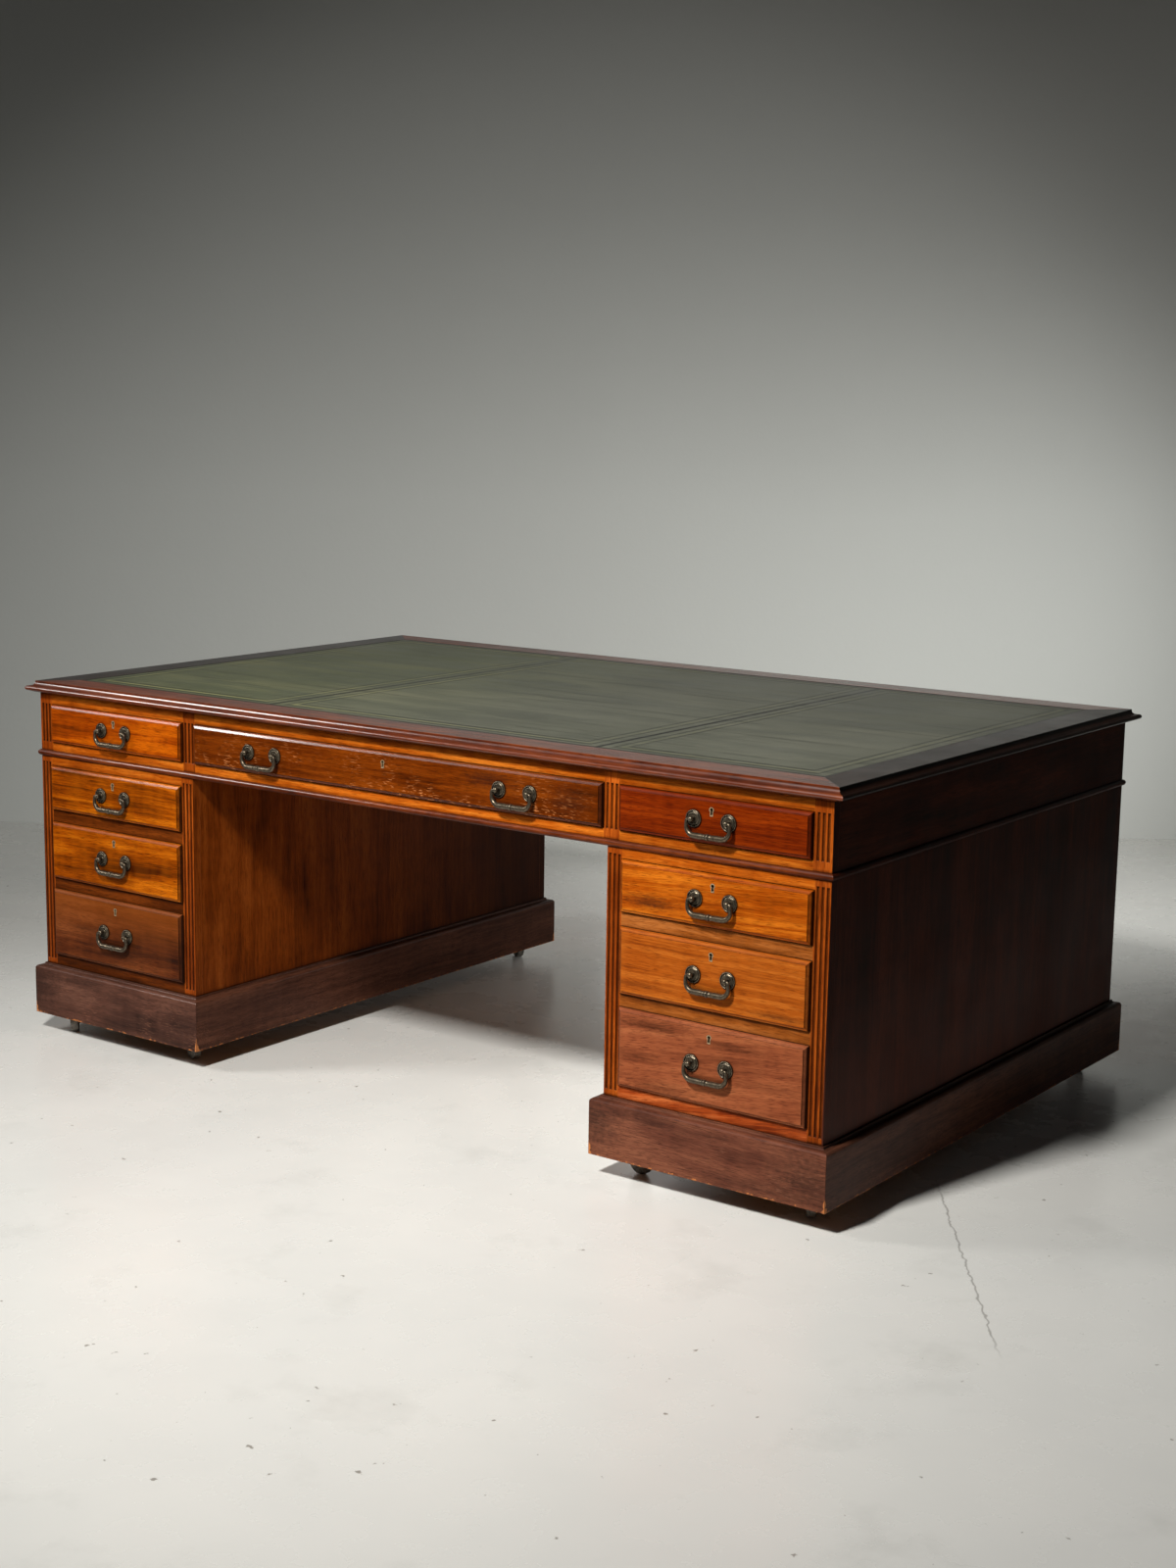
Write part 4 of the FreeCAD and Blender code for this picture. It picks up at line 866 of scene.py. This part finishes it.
def keyhole(head, leg):
    """The outline of a keyhole round the middle of its head, as (across, up) points."""
    points = []
    for step in range(KEYHOLE_STEPS + 1):
        turn = -KEYHOLE_NECK + (math.pi + 2 * KEYHOLE_NECK) * step / KEYHOLE_STEPS
        points.append((head * math.cos(turn), head * math.sin(turn)))
    foot = points[0][0]
    return [(-foot, -leg), (foot, -leg)] + points


# radius of a keyhole's head and length of its leg
LINING_OUTER = (0.0047, 0.0114)
LINING_INNER = (0.0032, 0.0094)
LINING_DEPTH = 0.004
LINING_PROUD = 0.0004


def keyhole_lining(body, x, y, z, outwards, metal):
    """The thin brass lining of a keyhole, a little proud of the face at y."""
    outer, inner = keyhole(*LINING_OUTER), keyhole(*LINING_INNER)
    rings = ((outer, -LINING_DEPTH), (outer, LINING_PROUD))
    rings += ((inner, LINING_PROUD), (inner, -LINING_DEPTH))
    vertices = []
    for outline, depth in rings:
        vertices += [(x + across, y + outwards * depth, z + up) for across, up in outline]
    faces = bands(len(rings), len(outer), turned=outwards < 0)
    new_mesh(f"{body}_keyhole_lining", vertices, faces, metal, body)


def add_linings(metal):
    """A lining in every keyhole, which lies in the face before the middle of its lock."""
    for name in NODES:
        if not name.endswith(("_drawer", "_door")):
            continue
        found = [(low, high) for _, low, high in solids(name)]
        low, high = next(corners for corners in found if is_lock(*corners))
        fronts = [f for f in found if f[0].x < low.x and f[1].x > high.x and f[1].z > high.z]
        outwards = 1 if "_back_" in name or name.endswith("_door") else -1
        face = max(f[1].y for f in fronts) if outwards > 0 else min(f[0].y for f in fronts)
        place = (low + high) / 2
        keyhole_lining(name, place.x, face, place.z, outwards, metal)


# half the outline of a turned rose with its post: (radius, height over the drawer front)
ROSE = [
    (0.0155, 0.0),
    (0.0157, 0.0014),
    (0.0154, 0.0026),
    (0.0147, 0.0031),
    (0.0139, 0.0028),
    (0.0134, 0.0012),
    (0.0126, 0.0007),
    (0.0118, 0.0010),
    (0.0113, 0.0026),
    (0.0105, 0.0034),
    (0.0096, 0.0032),
    (0.0086, 0.0022),
    (0.0072, 0.0016),
    (0.0056, 0.0018),
    (0.0044, 0.0030),
    (0.0038, 0.0052),
    (0.0041, 0.0074),
    (0.0049, 0.0090),
    (0.0053, 0.0108),
    (0.0049, 0.0127),
    (0.0038, 0.0142),
    (0.0020, 0.0151),
    (0.0, 0.0153),
]
ROSE_STEPS = 32


def add_roses(metal):
    """Round roses and ball-headed posts over the plain ones of the drawers."""
    for name in NODES:
        if not name.endswith("_drawer"):
            continue
        outwards = 1 if "_back_" in name else -1
        posts = [(low, high) for _, low, high in solids(name) if is_post(low, high)]
        for number, (low, high) in enumerate(posts):
            middle = (low + high) / 2
            face = low.y if outwards > 0 else high.y
            vertices = []
            for radius, height in ROSE:
                for step in range(ROSE_STEPS):
                    turn = 2 * math.pi * step / ROSE_STEPS
                    x = middle.x + radius * math.cos(turn)
                    z = middle.z + radius * math.sin(turn)
                    vertices.append((x, face + outwards * height, z))
            faces = bands(len(ROSE), ROSE_STEPS, turned=outwards > 0)
            rose = new_mesh(f"{name}_rose_{number}", vertices, faces, metal, name)
            for polygon in rose.data.polygons:
                polygon.use_smooth = True


# one half of a bail's grip: (from its middle, radius), in metres
GRIP = [
    (0.0, 0.0062),
    (0.0015, 0.0061),
    (0.0021, 0.0054),
    (0.0024, 0.0034),
    (0.0042, 0.0032),
    (0.0045, 0.0050),
    (0.0056, 0.0054),
    (0.0068, 0.0049),
    (0.0085, 0.0048),
    (0.0125, 0.0053),
    (0.0180, 0.0056),
    (0.0235, 0.0054),
]
BAIL_DROP = 0.028  # from the pins that the bail hangs on down to the middle of its grip
BEND_MIDDLE = 0.0285
BEND_RADIUS = 0.016
NECK_MIDDLE = 0.0405
NECK_RADIUS = 0.004
BAIL_STEPS = 16
COLLAR_REACH = 0.006  # the CAD grip's corners this near its middle show where it hangs


def bail_line():
    """Half of a bail from the middle of its grip: (across, up, angle, radius) of each ring."""
    line = [(across, -BAIL_DROP, 0.0, radius) for across, radius in GRIP]
    for step in range(7):  # the lower bend
        turn = math.radians(15 * step)
        across = BEND_MIDDLE + BEND_RADIUS * math.sin(turn)
        up = BEND_RADIUS * (1 - math.cos(turn)) - BAIL_DROP
        line.append((across, up, turn, 0.0054 - 0.0003 * step))
    for step in range(5):  # the neck, and then the end in the post
        turn = math.radians(22.5 * step)
        across = NECK_MIDDLE + NECK_RADIUS * math.cos(turn)
        up = NECK_RADIUS * (math.sin(turn) - 1)
        line.append((across, up, math.radians(90) + turn, 0.0031 - 0.0001 * step))
    line.append((0.036, 0.0, math.radians(180), 0.0023))
    return line


def add_bails(metal):
    """Swan-neck bails with a turned grip, each where its CAD node hangs."""
    half = bail_line()
    line = [(-across, up, -turn, radius) for across, up, turn, radius in reversed(half[1:])] + half
    for name in NODES:
        if "_bail" not in name:
            continue
        low, high = low_high(name)
        middle = (low.x + high.x) / 2
        mesh = NODES[name].data
        low, high = extent([v.co for v in mesh.vertices if abs(v.co.x - middle) < COLLAR_REACH])
        y = (low.y + high.y) / 2
        z = (low.z + high.z) / 2 + BAIL_DROP
        vertices = []
        for across, up, turn, radius in line:
            for step in range(BAIL_STEPS):
                around = 2 * math.pi * step / BAIL_STEPS
                out = radius * math.cos(around)
                x = middle + across - out * math.sin(turn)
                vertices.append((x, y + radius * math.sin(around), z + up + out * math.cos(turn)))
        last = range(len(vertices) - BAIL_STEPS, len(vertices))
        faces = [tuple(range(BAIL_STEPS)), tuple(reversed(last))]
        faces += bands(len(line), BAIL_STEPS, turned=True)
        bail = new_mesh(f"{name}_turned", vertices, faces, metal, name)
        for polygon in bail.data.polygons:
            polygon.use_smooth = len(polygon.vertices) == 4
        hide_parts(name)


# ---- edges ----


def joined(node, smooth):
    """A node without its own normals, with its faces joined and shaded smooth or flat."""
    item = NODES[node]
    mesh = item.data
    if "custom_normal" in mesh.attributes:
        mesh.attributes.remove(mesh.attributes["custom_normal"])
    for polygon in mesh.polygons:
        polygon.use_smooth = smooth
    item.modifiers.new("weld", "WELD").merge_threshold = 0.00001
    return item


METAL_EDGE = 0.0004
SMOOTH_UNDER = math.radians(40)


def soften(node):
    """Rounds a metal part's sharp edges a little and smooths its round parts."""
    item = joined(node, True)
    flat = item.modifiers.new("flat", "DECIMATE")
    flat.decimate_type = "DISSOLVE"
    flat.angle_limit = math.radians(0.5)
    bevel = item.modifiers.new("bevel", "BEVEL")
    bevel.width = METAL_EDGE
    bevel.segments = 2
    bevel.limit_method = "ANGLE"
    bevel.angle_limit = SMOOTH_UNDER
    item.modifiers.new("normals", "WEIGHTED_NORMAL").keep_sharp = True


# ---- the room ----

CAMERA_PLACE = Vector((2.8497, -3.8690, 1.4427))
CAMERA_YAW = math.radians(35.96)
CAMERA_PITCH = math.radians(10.09)
CAMERA_ROLL = math.radians(0.86)
FOCAL_SHARE = 2328.8 / 1600  # focal length over the picture's long side
SENSOR = 36
WALL_DISTANCE = 7.25
WALL_HEIGHT = 6
FLOOR_REACH = 9
CRACK = (Vector((1.02, -0.24, 0)), Vector((1.47, -0.89, 0)))


def add_camera():
    """The photograph's camera, fitted to the corners of the desk."""
    forward = Vector(
        (
            -math.sin(CAMERA_YAW) * math.cos(CAMERA_PITCH),
            math.cos(CAMERA_YAW) * math.cos(CAMERA_PITCH),
            -math.sin(CAMERA_PITCH),
        )
    )
    level = forward.cross(Vector((0, 0, 1))).normalized()
    upright = level.cross(forward)
    right = level * math.cos(CAMERA_ROLL) + upright * math.sin(CAMERA_ROLL)
    up = upright * math.cos(CAMERA_ROLL) - level * math.sin(CAMERA_ROLL)
    data = bpy.data.cameras.new("camera")
    data.sensor_width = SENSOR
    data.lens = SENSOR * FOCAL_SHARE
    camera = new_object("camera", data)
    turn = Matrix((right, up, -forward)).transposed().to_4x4()
    camera.matrix_world = Matrix.Translation(CAMERA_PLACE) @ turn
    bpy.context.scene.camera = camera


def add_plane(name, corners, material):
    mesh = bpy.data.meshes.new(name)
    mesh.from_pydata(corners, [], [(0, 1, 2, 3)])
    mesh.materials.append(material)
    item = new_object(name, mesh)


def crack_in_floor(s):
    """A thin crack between two places, which fades at both ends."""
    start, end = CRACK
    length = (end - start).length
    run = (end - start).normalized()
    from_start = s.vectors("SUBTRACT", s.waved(s.place, (9, 9, 9), 0.012), start)
    aside = s.calc("ABSOLUTE", s.measure("DOT_PRODUCT", from_start, (-run.y, run.x, 0)))
    ahead = s.measure("DOT_PRODUCT", from_start, run)
    half_way = s.calc("ABSOLUTE", s.calc("SUBTRACT", ahead, length / 2))
    near = s.between(aside, 0.0008, 0.0024, 1.0, 0.0)
    return s.times(near, s.between(half_way, length / 2 - 0.1, length / 2, 0.5, 0.0))


def floor_paint():
    """Pale paint with specks, stains and one crack."""
    s = Shader("floor_paint")
    broad = s.noise(s.place, 1.3, 4, 0.6)
    colour = s.ramp(broad, (0.35, tone(222, 222, 218)), (0.65, tone(230, 229, 224)))
    spots = s.noise(s.place, 30, 3, 0.6)
    colour = s.mix(s.between(spots, 0.7, 0.73, 0.0, 0.7), colour, tone(110, 100, 88))
    stains = s.between(s.noise(s.place, 4, 6, 0.65), 0.56, 0.74, 0.0, 0.3)
    colour = s.mix(stains, colour, tone(186, 186, 180))
    colour = s.mix(crack_in_floor(s), colour, tone(96, 90, 82))
    scuffs = s.noise(s.place, 6, 6, 0.6)
    return s.finish(colour, s.between(scuffs, 0.3, 0.7, 0.2, 0.34), scuffs, 0.0006)


def wall_paint():
    """Grey paint that is darker higher up as painted shade, as the studio's wall looks, and clear
    from behind.
    """
    s = Shader("wall_paint")
    broad = s.noise(s.place, 0.8, 4, 0.6)
    height = s.calc("ADD", s.along(Z), s.times(broad, 0.3))
    # painted shade: darker higher up
    colour = s.ramp(
        s.between(height, 0.0, 3.0),
        (0.0, tone(206, 208, 204)),
        (0.4, tone(200, 202, 198)),
        (0.7, tone(174, 175, 171)),
        (1.0, tone(160, 160, 156)),
    )
    s.finish(colour, 0.7, s.noise(s.place, 60, 3), 0.0004)
    output = next(node for node in s.tree.nodes if node.type == "OUTPUT_MATERIAL")
    behind = s.add("NewGeometry").outputs["Backfacing"]
    shown = {0: behind, 1: s.surface.outputs[0], 2: s.add("BsdfTransparent").outputs[0]}
    s.plug(output.inputs["Surface"], s.add("MixShader", shown).outputs[0])
    return s.material


def add_room():
    """A floor that ends at a wall square to the camera, behind the desk."""
    across = Vector((math.cos(CAMERA_YAW), math.sin(CAMERA_YAW), 0))
    away = Vector((-math.sin(CAMERA_YAW), math.cos(CAMERA_YAW), 0))
    ground = Vector((CAMERA_PLACE.x, CAMERA_PLACE.y, 0))
    left, right = across * -FLOOR_REACH, across * FLOOR_REACH
    near, foot = ground - away * FLOOR_REACH, ground + away * WALL_DISTANCE
    up = Vector((0, 0, WALL_HEIGHT))
    add_plane("floor", [near + left, near + right, foot + right, foot + left], floor_paint())
    wall = [foot + left, foot + right, foot + right + up, foot + left + up]
    add_plane("wall", wall, wall_paint())


def add_light(name, place, target, size, power, colour, spread):
    data = bpy.data.lights.new(name, "AREA")
    data.shape = "RECTANGLE"
    data.size, data.size_y = size
    data.energy = power
    data.color = colour
    data.spread = math.radians(spread)
    light = new_object(name, data)
    light.location = place
    towards = Vector(target) - Vector(place)
    light.rotation_euler = towards.to_track_quat("-Z", "Y").to_euler()


# name, place, target, size, power, colour, spread
LAMPS = (
    ("key", (0.4, -2.96, 3.15), (0.34, -0.2, 0.0), (0.4, 0.4), 57, (1.0, 0.985, 0.95), 100),
    ("left", (-2.7, -2.3, 2.2), (-0.5, -0.6, 0.6), (0.7, 1.2), 7, (1.0, 0.98, 0.96), 60),
    ("wash", (2.0, 2.25, 0.8), (-1.81, 1.7, 0.6), (0.8, 0.8), 11.5, (0.99, 1.0, 0.98), 80),
    ("behind", (-0.75, 2.2, 0.38), (0.1, 0.63, 0.4), (1.0, 0.3), 4, (1.0, 0.99, 0.97), 110),
)


def add_lights():
    """A strong lamp high in front, soft ones at the left and behind, one for the wall."""
    for lamp in LAMPS:
        add_light(*lamp)
    world = bpy.data.worlds.new("world")
    bpy.context.scene.world = world
    world.use_nodes = True
    background = world.node_tree.nodes["Background"]
    background.inputs["Color"].default_value = (0.8, 0.82, 0.85, 1)
    background.inputs["Strength"].default_value = 0.02


# ---- put together ----

dark_brass = bronze("dark_brass", tone(112, 100, 82), tone(44, 37, 30), 0.38, 0.8)
lock_brass = bronze("lock_brass", tone(176, 142, 84), tone(96, 72, 38), 0.36)
rose_brass = bronze("rose_brass", tone(124, 112, 92), tone(44, 38, 30), 0.36, 0.8, 0.014)
lining_brass = bronze("lining_brass", tone(196, 170, 130), tone(130, 102, 68), 0.45, 0.5)
horn_iron = iron("horn_iron", tone(84, 70, 56), tone(36, 30, 25))
wheel_finish = worn_wheel()

inner_woods = [plain_wood(f"inside_{'xyz'[g]}", g, *INSIDE, g * 2.0) for g in (X, Y, Z)]
paint_case(inner_woods)
paint_mouldings()
paint_plinths(inner_woods[Z])
paint_drawers(dark_brass, lock_brass)
paint_doors(dark_brass, lock_brass)
skiver = leather([(low, high) for _, low, high in solids("leather_panels")])
paint_whole("leather_panels", skiver)
paint_whole("door_hinge_halves", lock_brass)
for name in NODES:
    if "_bail" in name:  # replaced by turned ones, but a CAD node needs a material all the same
        paint_whole(name, dark_brass)
    elif name.endswith("_horn") or name == "caster_plates":
        paint_whole(name, horn_iron)
    elif name.endswith("_wheel"):
        paint_whole(name, wheel_finish)
add_linings(lining_brass)
add_roses(rose_brass)
add_bails(dark_brass)

for name in NODES:
    if name.endswith(("_wheel", "_horn")) or name in ("caster_plates", "door_hinge_halves"):
        soften(name)
    elif "_bail" not in name:
        joined(name, False)

add_camera()
add_room()
add_lights()
bpy.context.scene.view_settings.view_transform = "Standard"
